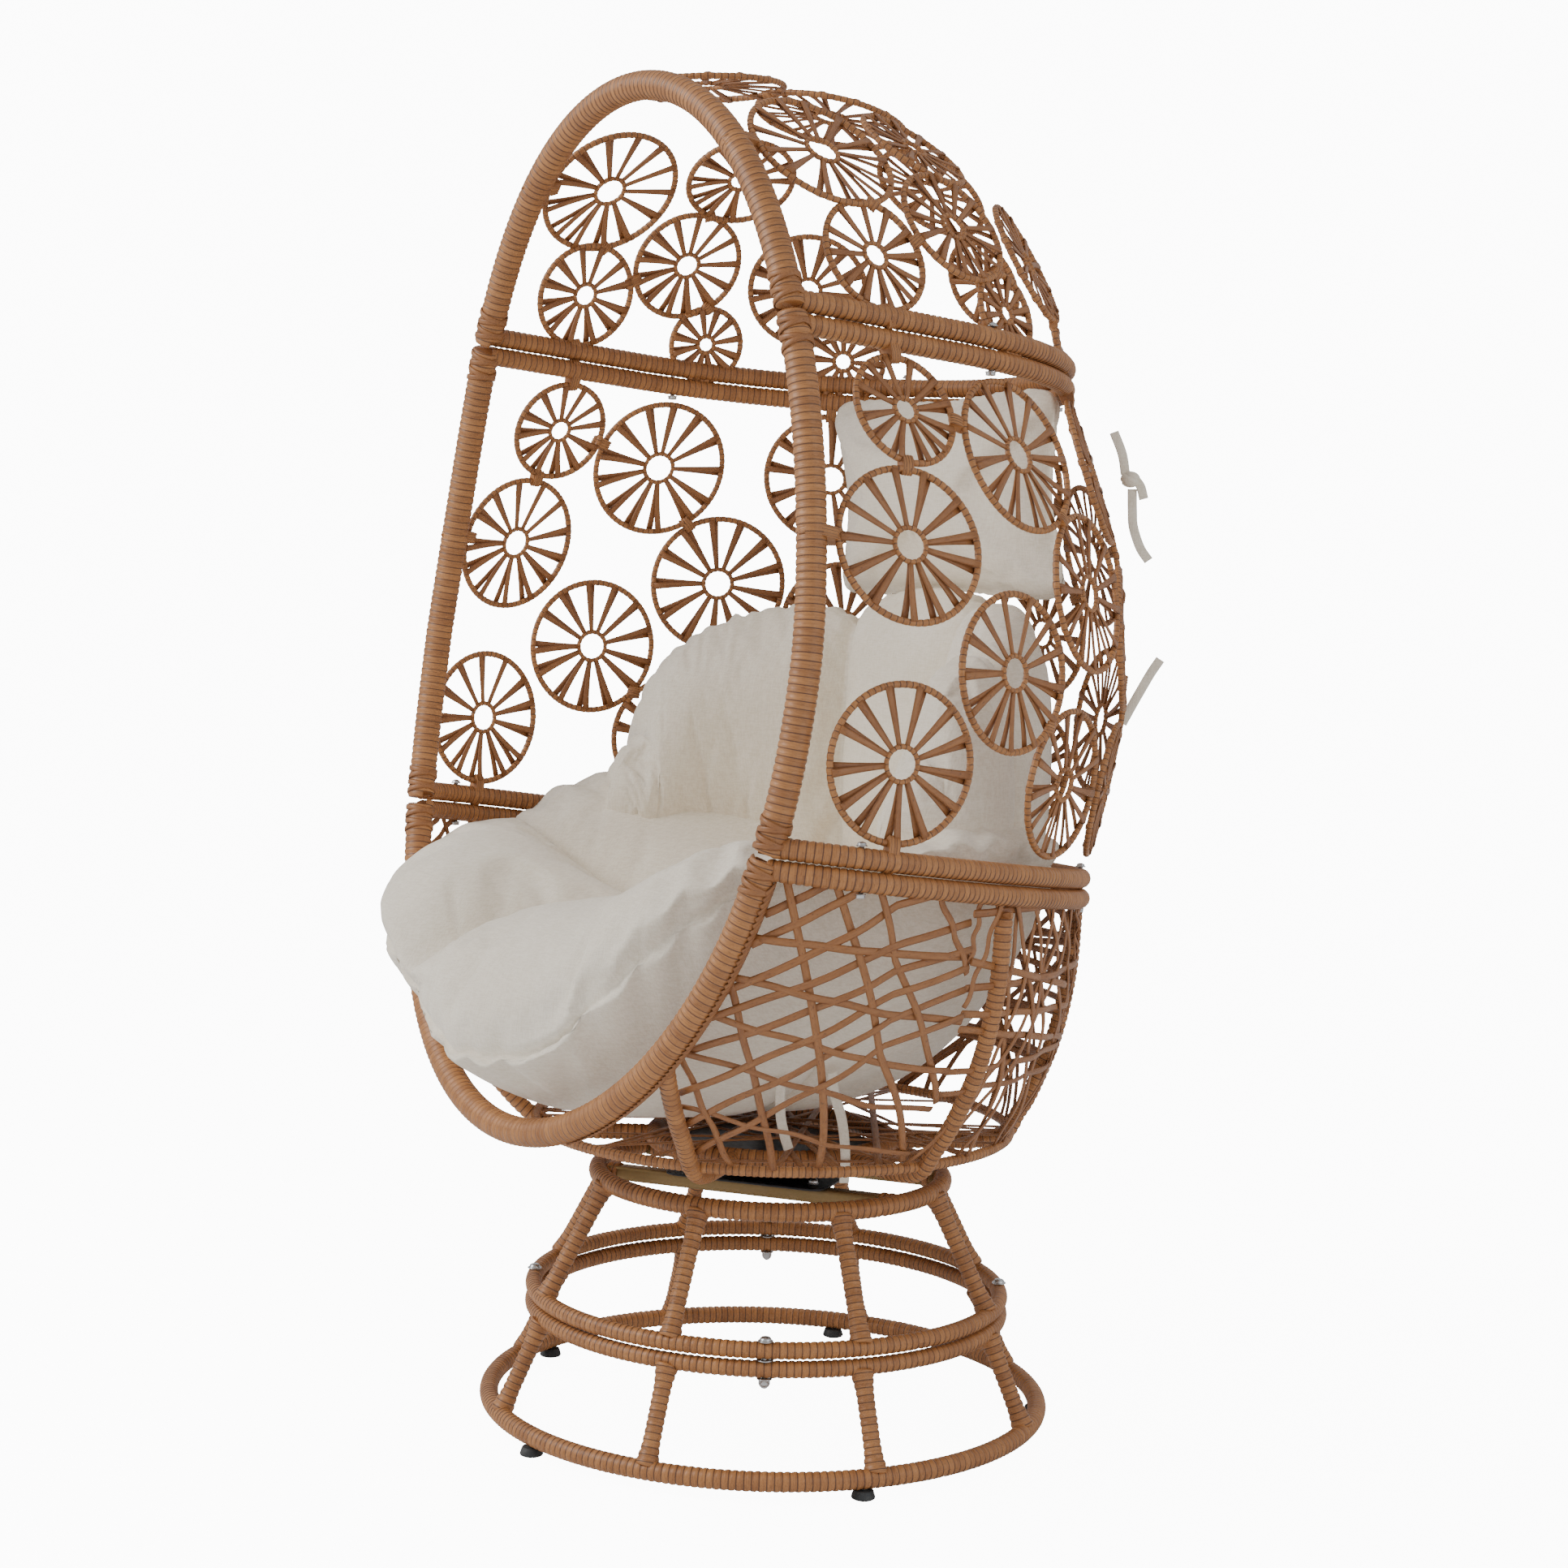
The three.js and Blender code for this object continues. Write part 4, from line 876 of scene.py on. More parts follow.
# ---- basket lattice -----------------------------------------------------------------------
def lattice_part(lines, seed, width, thick, wave=0.0022):
    """Flat strands along straight lines of the basket's own two coordinates, each rising and dipping
    through its neighbours."""
    lines = np.asarray(lines, float)
    share = np.linspace(0, 1, 22)
    t = lines[:, :1] + (lines[:, 2:3] - lines[:, :1]) * share
    u = lines[:, 1:2] + (lines[:, 3:4] - lines[:, 1:2]) * share
    normal = outward_normal(basket_surface, t, u, 0.004, 0.01)
    phase = np.arange(len(lines))[:, None] * 2.4
    points = basket_surface(t, u) + normal * (wave * np.sin(share * 17 + phase))[..., None]
    return strands(points, normal, width, thick, seed=seed)


def mouth_share(u):
    """The t where the basket surface meets the mouth tube at each depth u."""
    ts = np.linspace(-0.16, 0.12, 57)
    t, depth = np.meshgrid(ts, np.asarray(u, float), indexing="ij")
    p = basket_surface(t, depth)
    return ts[np.argmin(np.abs(p[..., 1] - mouth_y(p[..., 2]) - 0.012), axis=0)]


def side_lines():
    """The open weave beside the sitter, tied to the mouth tube, the rails and the side rib: five near-level
    strands, eight rising towards the back, and six falling towards it."""
    lines = []
    for low, high in ((0.23, 0.24), (0.35, 0.45), (0.47, 0.62), (0.59, 0.765), (0.78, 0.93)):
        lines.append((mouth_share([low])[0], low, SIDE_RIB, high))
    for depth, climb in ((0.16, 1.0), (0.25, 1.0), (0.40, 0.95), (0.50, 0.78), (0.62, 0.78), (0.74, 0.90),
                         (0.84, 0.95), (0.95, 1.00)):
        start = mouth_share([depth])[0]
        reach = min(SIDE_RIB - start, (depth - 0.02) / climb)
        lines.append((start, depth, start + reach, depth - reach * climb))
    for start, lean in ((0.03, 0.15), (0.115, 0.26), (0.21, 0.21), (0.305, 0.20)):
        fall = min(0.965, (SIDE_RIB - start) / lean)
        lines.append((start, 0.02, start + lean * fall, 0.02 + fall))
    for depth, lean in ((0.36, 0.14), (0.56, 0.16)):
        start = mouth_share([depth])[0]
        lines.append((start, depth, start + lean * (0.985 - depth), 0.985))
    return np.array(lines)


def tangled_lines(first, last, count, rng):
    """The closer weave of the rear panels: strands leaning each way at random with a few level ones."""
    span = last - first
    start = first + span * (np.arange(count) + 0.5 + rng.uniform(-0.4, 0.4, count)) / count
    lean = np.where(np.arange(count) % 2, 1, -1) * rng.uniform(0.1, 0.75, count) * span
    finish = np.clip(start + lean, first, last)
    used = np.clip(np.abs(finish - start) / np.maximum(np.abs(lean), 1e-9), 0.25, 1)
    steep = np.stack([start, np.full(count, 0.02), finish, 0.02 + 0.965 * used], axis=1)
    levels = rng.uniform(0.1, 0.85, count // 2)
    tilt = rng.uniform(-0.14, 0.2, count // 2)
    level = np.stack([np.full(count // 2, first), levels, np.full(count // 2, last), levels + tilt], axis=1)
    return np.vstack([steep, level])


def mirrored_lines(lines):
    lines = np.array(lines)
    lines[:, [0, 2]] = 2 - lines[:, [0, 2]]
    return lines


def floor_lattice(rng, width, thick):
    """Strands stretched across the floor hoop at many bearings, each at its own height."""
    count = 26
    bearing = rng.uniform(0, math.pi, count) + np.arange(count) * 0.6
    offset = rng.uniform(-0.8, 0.8, count) * HOOP["radius"]
    half = np.sqrt(HOOP["radius"] ** 2 - offset ** 2)[:, None]
    share = np.linspace(-1, 1, 9)
    along = np.stack([np.cos(bearing), np.sin(bearing)], axis=1)[:, None]
    beside = np.stack([-np.sin(bearing), np.cos(bearing)], axis=1)[:, None]
    plan = along * (half * share)[..., None] + beside * offset[:, None, None]
    height = HOOP["z"] + rng.uniform(-0.003, 0.004, count)[:, None] * (1 - share ** 2)
    paths = np.concatenate([plan, height[..., None]], axis=-1)
    return strands(paths, UP, width, thick, seed=7000)


def stitched_band(seed):
    """A herringbone of short flat strands along the back of the mouth tube, where the weave is tied on."""
    low = joint_degrees(JOINT_LOW)
    parts = []
    for first, last, way in ((low - 3, low - 52, 1), (180 - low + 3, 180 - low + 52, -1)):
        degrees = np.linspace(first, last, 62)
        centre = mouth_point(degrees)
        tangent = unit(np.gradient(centre, axis=0))
        outer = unit(np.cross(tangent, FORWARD)) * way
        outer = outer * np.sign(np.sum(outer * (centre - [0, 0, MOUTH["widest_z"]]), axis=1, keepdims=True))
        back = unit(np.cross(outer, tangent))
        back = back * np.sign(back[:, 1:2])
        for lean in (1, -1):
            share = np.linspace(-1, 1, 5)
            angle = math.radians(38) + lean * 0.32 + share * 0.34
            normal = (np.cos(angle)[None, :, None] * outer[:, None]
                      + np.sin(angle)[None, :, None] * back[:, None])
            slide = (lean * share * 0.0065)[None, :, None] * tangent[:, None]
            paths = centre[:, None] + slide + normal * (MOUTH["tube"] + 0.0012)
            parts.append(strands(paths, normal, 0.0058, 0.0022, seed=seed))
            seed += 80
    return parts


# ---- operators ----------------------------------------------------------------------------
class EGG_OT_base(bpy.types.Operator):
    """Builds the two cane-wrapped tiers of the base"""
    bl_idname = "egg.base"
    bl_label = "Wrapped base"

    def execute(self, context):
        for name, low, high, seed in (("lower", RING_A, RING_B, 0), ("upper", RING_C, RING_D, 2000)):
            parts = tier_parts(low, high, seed)
            piece(f"wrapped_{name}_tier", merge(parts), MATERIALS["wrap"], "base",
                  [f"base_{name}_tier"])
        return {"FINISHED"}


class EGG_OT_frames(bpy.types.Operator):
    """Builds the cane-wrapped tubes of the basket, its floor, the middle section and the dome"""
    bl_idname = "egg.frames"
    bl_label = "Wrapped egg frames"

    def execute(self, context):
        low, high = joint_degrees(JOINT_LOW), joint_degrees(JOINT_HIGH)
        wraps = frame_joint_wraps(9000)
        basket = [mouth_part(180 - low, 360 + low, 0), rail_part(JOINT_LOW, -1, 600)]
        middle = [mouth_part(low, high, 1000), mouth_part(180 - high, 180 - low, 1200),
                  rail_part(JOINT_LOW, 1, 1400), rail_part(JOINT_HIGH, -1, 1600)]
        dome = [mouth_part(high, 180 - high, 2000), rail_part(JOINT_HIGH, 1, 2400)]
        floor = [wrapped_tube(circle(HOOP), HOOP["tube"] - 0.0006, UP, 10, closed=True, pitch=0.0075,
                              swell=0.0008, seed=3000), ring_part(SEAT_RING, 16, 3400)]
        for k, bearing in enumerate(RIB_BEARINGS):
            path = rib_path(bearing)
            beside = polar(1, bearing + 90, 0)
            floor.append(wrapped_tube(path, RIB_TUBE - 0.0006, beside, 12, seed=3600 + 90 * k))
        for name, parts in {"basket": basket, "middle": middle, "dome": dome, "floor": floor}.items():
            piece(f"wrapped_{name}_frame", merge(parts), MATERIALS["wrap"], "seat",
                  [f"{name}_frame"])
            if name in wraps:
                crossed = merge(wraps[name])
                piece(f"{name}_cross_wraps", crossed, MATERIALS["strand"], "seat")
        return {"FINISHED"}


class EGG_OT_wheels(bpy.types.Operator):
    """Builds the cane wheels of the middle section and the dome with their lashings"""
    bl_idname = "egg.wheels"
    bl_label = "Cane wheels"

    def execute(self, context):
        rng = np.random.default_rng(11)
        middle, dome = middle_curves(), dome_curves()
        rear_and_back = REAR_WHEELS + BACK_WHEELS
        groups = {
            "middle_wheels_side_right": ([middle_wheel(*w, 1) for w in SIDE_WHEELS], middle),
            "middle_wheels_side_left": ([middle_wheel(*w, -1) for w in SIDE_WHEELS], middle),
            "middle_wheels_rear_right": ([middle_wheel(*w, 1) for w in rear_and_back], middle),
            "middle_wheels_rear_left": ([middle_wheel(*w, -1) for w in REAR_WHEELS], middle),
            "dome_wheels_right": ([dome_wheel(*w, 1) for w in DOME_SIDE_WHEELS], dome),
            "dome_wheels_left": ([dome_wheel(*w, -1) for w in DOME_SIDE_WHEELS], dome),
            "dome_wheels_crown": ([dome_wheel(*w, 1) for w in DOME_CROWN_WHEELS], dome),
        }
        for k, (name, (wheels, curves)) in enumerate(groups.items()):
            rounds, flats = [], []
            for n, wheel in enumerate(wheels):
                parts = wheel_parts(wheel, rng, 5000 * k + 400 * n)
                rounds += parts[:2]
                flats += parts[2:]
            rounds += binding_parts(wheels, curves, 5000 * k + 4000)
            piece(f"cane_{name}", merge(flats), MATERIALS["strand"], "seat", [name])
            piece(f"rims_of_{name}", merge(rounds), MATERIALS["wrap"], "seat")
        return {"FINISHED"}


class EGG_OT_weave(bpy.types.Operator):
    """Builds the basket's open lattice, its rear tangle, the floor strands and the stitched band"""
    bl_idname = "egg.weave"
    bl_label = "Basket weave"

    def execute(self, context):
        wicker = context.scene.egg_wicker
        width, thick = wicker.strand_width, wicker.strand_thick
        rng = np.random.default_rng(5)
        side = side_lines()
        rear = tangled_lines(0.36, 0.66, 15, rng)
        back = tangled_lines(0.66, 1.34, 26, rng)
        sets = {"basket_weave_right": [side, rear],
                "basket_weave_left": [mirrored_lines(side), mirrored_lines(rear)],
                "basket_weave_back": [back]}
        for k, (name, lines) in enumerate(sets.items()):
            parts = [lattice_part(x, 6000 + 300 * k + 100 * n, width, thick) for n, x in enumerate(lines)]
            piece(f"cane_{name}", merge(parts), MATERIALS["strand"], "seat", [name])
        floor = floor_lattice(rng, width, thick)
        piece("cane_floor_weave", floor, MATERIALS["strand"], "seat", ["floor_weave"])
        piece("mouth_stitching", merge(stitched_band(8000)), MATERIALS["strand"], "seat")
        return {"FINISHED"}


COLLAR = {"inset": 0.008, "top": 0.005}
DRUM = {"lip": 0.006, "lift": 0.006, "slack": 0.002, "deck": 0.004}
# Profiles of turned hardware as (radius, height), from the axis out and back.
TIER_HEAD = [(0, 0), (0.009, 0), (0.009, 0.0014), (0.0072, 0.0014), (0.0070, 0.003), (0.0055, 0.0050),
             (0.0028, 0.0060), (0, 0.0062)]
CAP_NUT = [(0, -0.0125), (0.003, -0.012), (0.0055, -0.0095), (0.0068, -0.0068), (0.0068, -0.0015),
           (0.009, -0.0015), (0.009, 0), (0.0034, 0), (0, -0.0002)]
PLATE_CAP = [(0, 0), (0.0072, 0), (0.0072, 0.0012), (0.0058, 0.0012), (0.0058, 0.004), (0.0044, 0.0062),
             (0.002, 0.007), (0, 0.0071)]
SECTION_HEAD = [(0, 0), (0.0065, 0), (0.0065, 0.0012), (0.0052, 0.0012), (0.0048, 0.0035), (0.002, 0.0049),
                (0, 0.005)]
SECTION_NUT = [(0, -0.005), (0.0030, -0.005), (0.0058, -0.0045), (0.0058, -0.0012), (0.0065, -0.0012),
               (0.0065, 0), (0, 0)]
GLIDE = [(0, 0), (0.0125, 0), (0.014, 0.0012), (0.014, 0.003), (0.0135, 0.0045), (0.0115, 0.0102),
         (0.0102, 0.0107), (0.004, 0.0107), (0.004, 0.029), (0, 0.029)]


class EGG_OT_hardware(bpy.types.Operator):
    """Builds the bars, swivel, bolts and feet"""
    bl_idname = "egg.hardware"
    bl_label = "Hardware"

    def execute(self, context):
        self.bars()
        self.swivel()
        self.bolts()
        self.feet()
        return {"FINISHED"}

    def bars(self):
        along = np.array([math.cos(BAR_ANGLE), math.sin(BAR_ANGLE), 0])
        beside = np.array([-math.sin(BAR_ANGLE), math.cos(BAR_ANGLE), 0])
        for k, side in enumerate((-1, 1)):
            middle = beside * side * BAR["offset"] + UP * BAR["z"]
            ends = np.array([-0.5, 0.5])[:, None] * BAR["length"] * along + middle
            part = bar_part(line_between(*ends, 12), beside, BAR["width"], BAR["height"])
            piece(f"painted_cross_bar_{k + 1}", part, MATERIALS["bronze"], "base",
                  [f"cross_bar_{k + 1}"])
            wraps = []
            for end in (-1, 1):
                tip = middle + along * end * BAR["length"] / 2
                path = line_between(tip - along * end * 0.030, tip - along * end * 0.002, 20)
                wraps.append(wrapped_tube(path, 0.0108, UP, 14, seed=9500 + 20 * k + 5 * end, flat=1.2))
            piece(f"bar_{k + 1}_end_wraps", merge(wraps), MATERIALS["wrap"], "base")

    def swivel(self):
        half, low, high = PLATE["size"] / 2, -PLATE["thick"] / 2, PLATE["thick"] / 2
        plate = softened([(0, low), (half, low), (half, high), (0, high)])
        inner, outer = SWIVEL_RADIUS - COLLAR["inset"], SWIVEL_RADIUS + DRUM["lip"]
        collar = softened([(0, high), (inner, high), (inner, COLLAR["top"]), (0, COLLAR["top"])])
        parts = [turned(plate, UP * PLATE["z"], 96, 14.0, BAR_ANGLE), turned(collar, UP * PLATE["z"], 48)]
        piece("swivel_plate", merge(parts), MATERIALS["black"], "base", ["swivel_lower_plate"])
        low_z = PLATE["z"] + DRUM["lift"]
        rise = SEAT_RING["z"] - SEAT_RING["tube"] - low_z
        deck, top = SEAT_RING["radius"] - SEAT_RING["tube"] - DRUM["slack"], rise + DRUM["deck"]
        drum = softened([(0, 0), (SWIVEL_RADIUS, 0), (SWIVEL_RADIUS, rise * 0.45), (outer, rise * 0.5),
                         (outer, rise), (deck, rise), (deck, top), (0, top)])
        piece("swivel_bearing", turned(drum, UP * low_z, 64), MATERIALS["black"], "seat",
              ["swivel_drum"])

    def bolts(self):
        zinc = MATERIALS["zinc"]
        seam = (RING_B["z"] + RING_C["z"]) / 2
        top = RING_C["z"] + RING_C["tube"]
        low = RING_B["z"] - RING_B["tube"]
        spacer = (RING_C["z"] - RING_C["tube"] - RING_B["z"] - RING_B["tube"]) / 2 - GAP
        for k in range(4):
            place = polar(RING_B["radius"], TIER_BOLT_FIRST + 90 * k, 0)
            shank = [(0, low - 0.009), (0.003, low - 0.009), (0.003, top + 0.001), (0, top + 0.001)]
            washer = [(0, -spacer), (0.010, -spacer), (0.010, spacer), (0, spacer)]
            head = softened(TIER_HEAD, ZINC_EDGE)
            parts = [turned(head, place + UP * (top + GAP)), turned(shank, place, 16),
                     turned(washer, place + UP * seam, 24)]
            piece(f"domed_tier_bolt_{k + 1}", merge(parts), zinc, "base", [f"tier_bolt_{k + 1}"])
            piece(f"cap_tier_nut_{k + 1}", turned(softened(CAP_NUT, ZINC_EDGE), place + UP * (low - GAP)),
                  zinc, "base", [f"tier_nut_{k + 1}"])
        cosine, sine = math.cos(BAR_ANGLE), math.sin(BAR_ANGLE)
        for k, (side_x, side_y) in enumerate(((-1, -1), (1, -1), (1, 1), (-1, 1))):
            x, y = side_x * PLATE["bolt"], side_y * BAR["offset"]
            height = PLATE["z"] + PLATE["thick"] / 2 + GAP
            place = np.array([x * cosine - y * sine, x * sine + y * cosine, height])
            piece(f"cap_plate_bolt_{k + 1}", turned(softened(PLATE_CAP, ZINC_EDGE), place), zinc, "base",
                  [f"plate_bolt_{k + 1}"])
        reach = 2 * RAIL + 0.0015
        for name, joint in (("low", JOINT_LOW), ("high", JOINT_HIGH)):
            for k, t in enumerate(SECTION_BOLTS):
                place = level_point(joint, t)
                shank = [(0, -reach - 0.005), (0.0029, -reach - 0.005), (0.0029, reach), (0, reach)]
                parts = [turned(shank, place, 16),
                         turned(softened(SECTION_HEAD, ZINC_EDGE), place + UP * reach, 24),
                         turned(softened(SECTION_NUT, ZINC_EDGE), place - UP * reach, 24)]
                piece(f"{name}_section_bolt_{k + 1}", merge(parts), zinc, "seat",
                      [f"{name}_joint_bolt_{k + 1}"])

    def feet(self):
        for k in range(FEET):
            place = polar(RING_A["radius"], FOOT_FIRST + k * 360 / FEET, 0)
            piece(f"glide_foot_{k + 1}", turned(softened(GLIDE, 0.0005), place), MATERIALS["foot"],
                  f"foot_{k + 1}", [f"levelling_foot_{k + 1}"])


def bar_part(path, across, width, height):
    """A bar whose section is a rectangle with round corners: |x/w|^8 + |z/h|^8 = 1."""
    angle = 2 * math.pi * (np.arange(28) + 0.5) / 28
    swell = (np.abs(np.cos(angle)) ** 8 + np.abs(np.sin(angle)) ** 8) ** (-1 / 8)
    x, z = width / 2 * swell * np.cos(angle), height / 2 * swell * np.sin(angle)
    ring = x[:, None] * across + z[:, None] * UP
    points = (path[:, None] + ring).reshape(-1, 3)
    rows, sides = len(path), len(angle)
    quads = ring_quads(rows, sides)
    if np.dot(np.cross(across, UP), path[-1] - path[0]) > 0:
        quads = quads[:, ::-1]
        caps = np.concatenate([np.arange(sides)[::-1], (rows - 1) * sides + np.arange(sides)])
    else:
        caps = np.concatenate([np.arange(sides), (rows - 1) * sides + np.arange(sides)[::-1]])
    corners = np.concatenate([quads.ravel(), caps])
    sizes = np.concatenate([np.full(len(quads), 4), [sides, sides]])
    return points, corners, sizes, np.zeros((len(corners), 2))


# ---- cushions -----------------------------------------------------------------------------
# Heights of the seat cushion's rim seam by bearing from its centre, in degrees: it sags at the front,
# where it hangs over the mouth, and climbs the basket's sides.
SEAT_CENTRE = np.array([0.0, -0.050, 0.0])
SEAT_RIM = ((-172, 0.745), (-150, 0.650), (-130, 0.590), (-116, 0.545), (-98, 0.492), (-80, 0.482),
            (-66, 0.520), (-54, 0.628), (-35, 0.712), (0, 0.730), (60, 0.700), (120, 0.700), (165, 0.745))
SEAT_REACH = ((-170, 0.385), (-150, 0.425), (-130, 0.462), (-116, 0.405), (-98, 0.402), (-80, 0.392),
              (-60, 0.378), (-35, 0.372), (0, 0.372), (90, 0.372), (160, 0.375))
SEAT_VALLEYS = (-163, -116, -14, 60, 112)
SEAT_MIDDLE_Z = 0.560
SEAT_PUFF = 0.165
BACK_OUTER = (0.345, 0.322)
BACK_INNER = (0.238, 0.196)
BACK_Y = -0.020
BACK_VALLEYS = (24, 66, 116)
BACK_LOW = 0.640
BACK_HIGH = 1.042
PILLOW = {"width": 0.440, "height": 0.262, "thick": 0.125, "centre": (0.0, 0.244, 1.160), "lean": 6.0}


def periodic(table, degrees):
    """A smooth height for each bearing, through a table of bearings and heights, repeating every turn."""
    table = np.asarray(table, float)
    x = np.concatenate([table[:, 0] - 360, table[:, 0], table[:, 0] + 360])
    y = np.tile(table[:, 1], 3)
    turn = (degrees + 180) % 360 - 180
    taps = np.linspace(-9, 9, 7)
    return np.mean([np.interp(turn + tap, x, y) for tap in taps], axis=0)


def between_valleys(valleys, degrees, sharpness, turn=360):
    """Rises from 0 at each valley to 1 midway to the next: (4 f (1 - f)) ^ sharpness."""
    marks = np.sort(np.asarray(valleys, float))
    if turn:
        marks = np.concatenate([marks - turn, marks, marks + turn])
    k = np.clip(np.searchsorted(marks, degrees) - 1, 0, len(marks) - 2)
    share = np.clip((degrees - marks[k]) / (marks[k + 1] - marks[k]), 0, 1)
    return (4 * share * (1 - share)) ** sharpness


def puckers(around, seed, waves=(17, 29, 43)):
    """Uneven ripples round a seam: three sines of unrelated lengths, one swelling and fading with another."""
    phase = np.random.default_rng(seed).uniform(0, 2 * math.pi, 2 * len(waves))
    ripple = sum(np.sin(w * around + p) for w, p in zip(waves, phase))
    fade = 0.55 + 0.45 * np.sin(3 * around + phase[-1]) * np.sin(5 * around + phase[-2])
    return ripple / len(waves) * fade


def seat_cushion_points(columns=300, rows=132):
    """A bowl with lobes. r = reach * share, where share goes 0 to 1 over the top and back underneath. The
    top is middle + (rim - middle) share^2.2 + puff * lobe * (1 - share^8)^0.5 * share^0.6; the underside
    follows the basket's bowl, and the rim is drawn in at each valley and puckered beside its seam."""
    s, theta = polar_grid(np.linspace(0, 2, rows), columns)
    degrees = (np.degrees(theta) + 180) % 360 - 180
    over = s <= 1
    share = np.where(over, s, 2 - s)
    share = np.sin(share * math.pi / 2) ** 0.92
    rim = periodic(SEAT_RIM, degrees)
    lobe = between_valleys(SEAT_VALLEYS, degrees, 0.37)
    front = np.clip(-np.sin(theta), 0, 1) ** 2
    reach = periodic(SEAT_REACH, degrees) * (0.965 + 0.035 * lobe)
    pucker = puckers(theta, 3) * np.exp(-((1 - share) / 0.11)) * 0.0075
    top = SEAT_MIDDLE_Z + (rim - SEAT_MIDDLE_Z) * share ** 2.2
    top += (SEAT_PUFF - 0.05 * (1 - front)) * lobe * np.sqrt(1 - share ** 8) * share ** 0.6 + pucker
    bowl = 0.398 + 0.05 * share + (rim - 0.448) * share ** 3.0
    bowl -= 0.026 * lobe * np.sqrt(1 - share ** 6) * share - pucker * 0.6
    z = np.where(over, np.maximum(top, bowl), np.minimum(bowl, top))
    bulge = 1 + 0.03 * np.exp(-((s - 0.90) / 0.07) ** 2) + 0.02 * np.exp(-((s - 1.1) / 0.08) ** 2)
    r = reach * share * bulge
    r *= 1 - 0.016 * np.exp(-((s - 1) / 0.018) ** 2)
    points = np.stack([r * np.cos(theta), r * np.sin(theta), z], axis=-1) + SEAT_CENTRE
    seam = np.exp(-((s - 1) / 0.02) ** 2)
    valley = np.exp(-(between_valleys(SEAT_VALLEYS, degrees, 1.0) / 0.10) ** 2) * over * (share < 0.97)
    return points, np.maximum(seam, valley)


def pillow_points(columns=200, rows=96):
    """A rectangle with hollow sides and pointed corners, |x|^n + |y|^n with n falling inward, puffed by
    (1 - share^2.4)^0.6 to each side and tipped back by its lean."""
    s, theta = polar_grid(np.linspace(0, 2, rows), columns)
    share = np.sin(np.where(s <= 1, s, 2 - s) * math.pi / 2)
    side = np.where(s <= 1, -1, 1)
    power = 2 + 9 * share ** 2
    reach = (np.abs(np.cos(theta)) ** power + np.abs(np.sin(theta)) ** power) ** (-1 / power)
    hollow = 1 - 0.075 * share ** 4 * np.cos(2 * theta) ** 2
    x = PILLOW["width"] / 2 * share * reach * hollow * np.cos(theta)
    z = PILLOW["height"] / 2 * share * reach * hollow * np.sin(theta)
    thick = PILLOW["thick"] / 2 * (1 - share ** 2.4) ** 0.6
    y = side * (thick + puckers(theta, 8) * np.exp(-(1 - share) / 0.12) * 0.004 * (1 - share ** 8))
    lean = math.radians(PILLOW["lean"])
    turned_y = y * math.cos(lean) - z * math.sin(lean)
    turned_z = y * math.sin(lean) + z * math.cos(lean)
    return np.stack([x, turned_y, turned_z], axis=-1) + PILLOW["centre"], np.exp(-((s - 1) / 0.02) ** 2)


def pad_part(points):
    """Closes a grid of rings whose first and last rows are single points."""
    rows, columns = points.shape[:2]
    inner = points[1:-1].reshape(-1, 3)
    full = np.vstack([inner, points[0, :1], points[-1, :1]])
    quads = ring_quads(rows - 2, columns)
    around = np.arange(columns)
    ahead = (around + 1) % columns
    first = np.stack([around, ahead, np.full(columns, len(inner))], axis=1)
    low = (rows - 3) * columns
    last = np.stack([low + ahead, low + around, np.full(columns, len(inner) + 1)], axis=1)
    corners = np.concatenate([quads.ravel(), first.ravel(), last.ravel()])
    sizes = np.concatenate([np.full(len(quads), 4), np.full(2 * columns, 3)])
    return full, corners, sizes, np.zeros((len(corners), 2))


def pad_weights(weights):
    return np.concatenate([weights[1:-1].ravel(), weights[0, :1], weights[-1, :1]])


BACK_SPAN = (-12, 192)
BACK_SIDE = 0.845


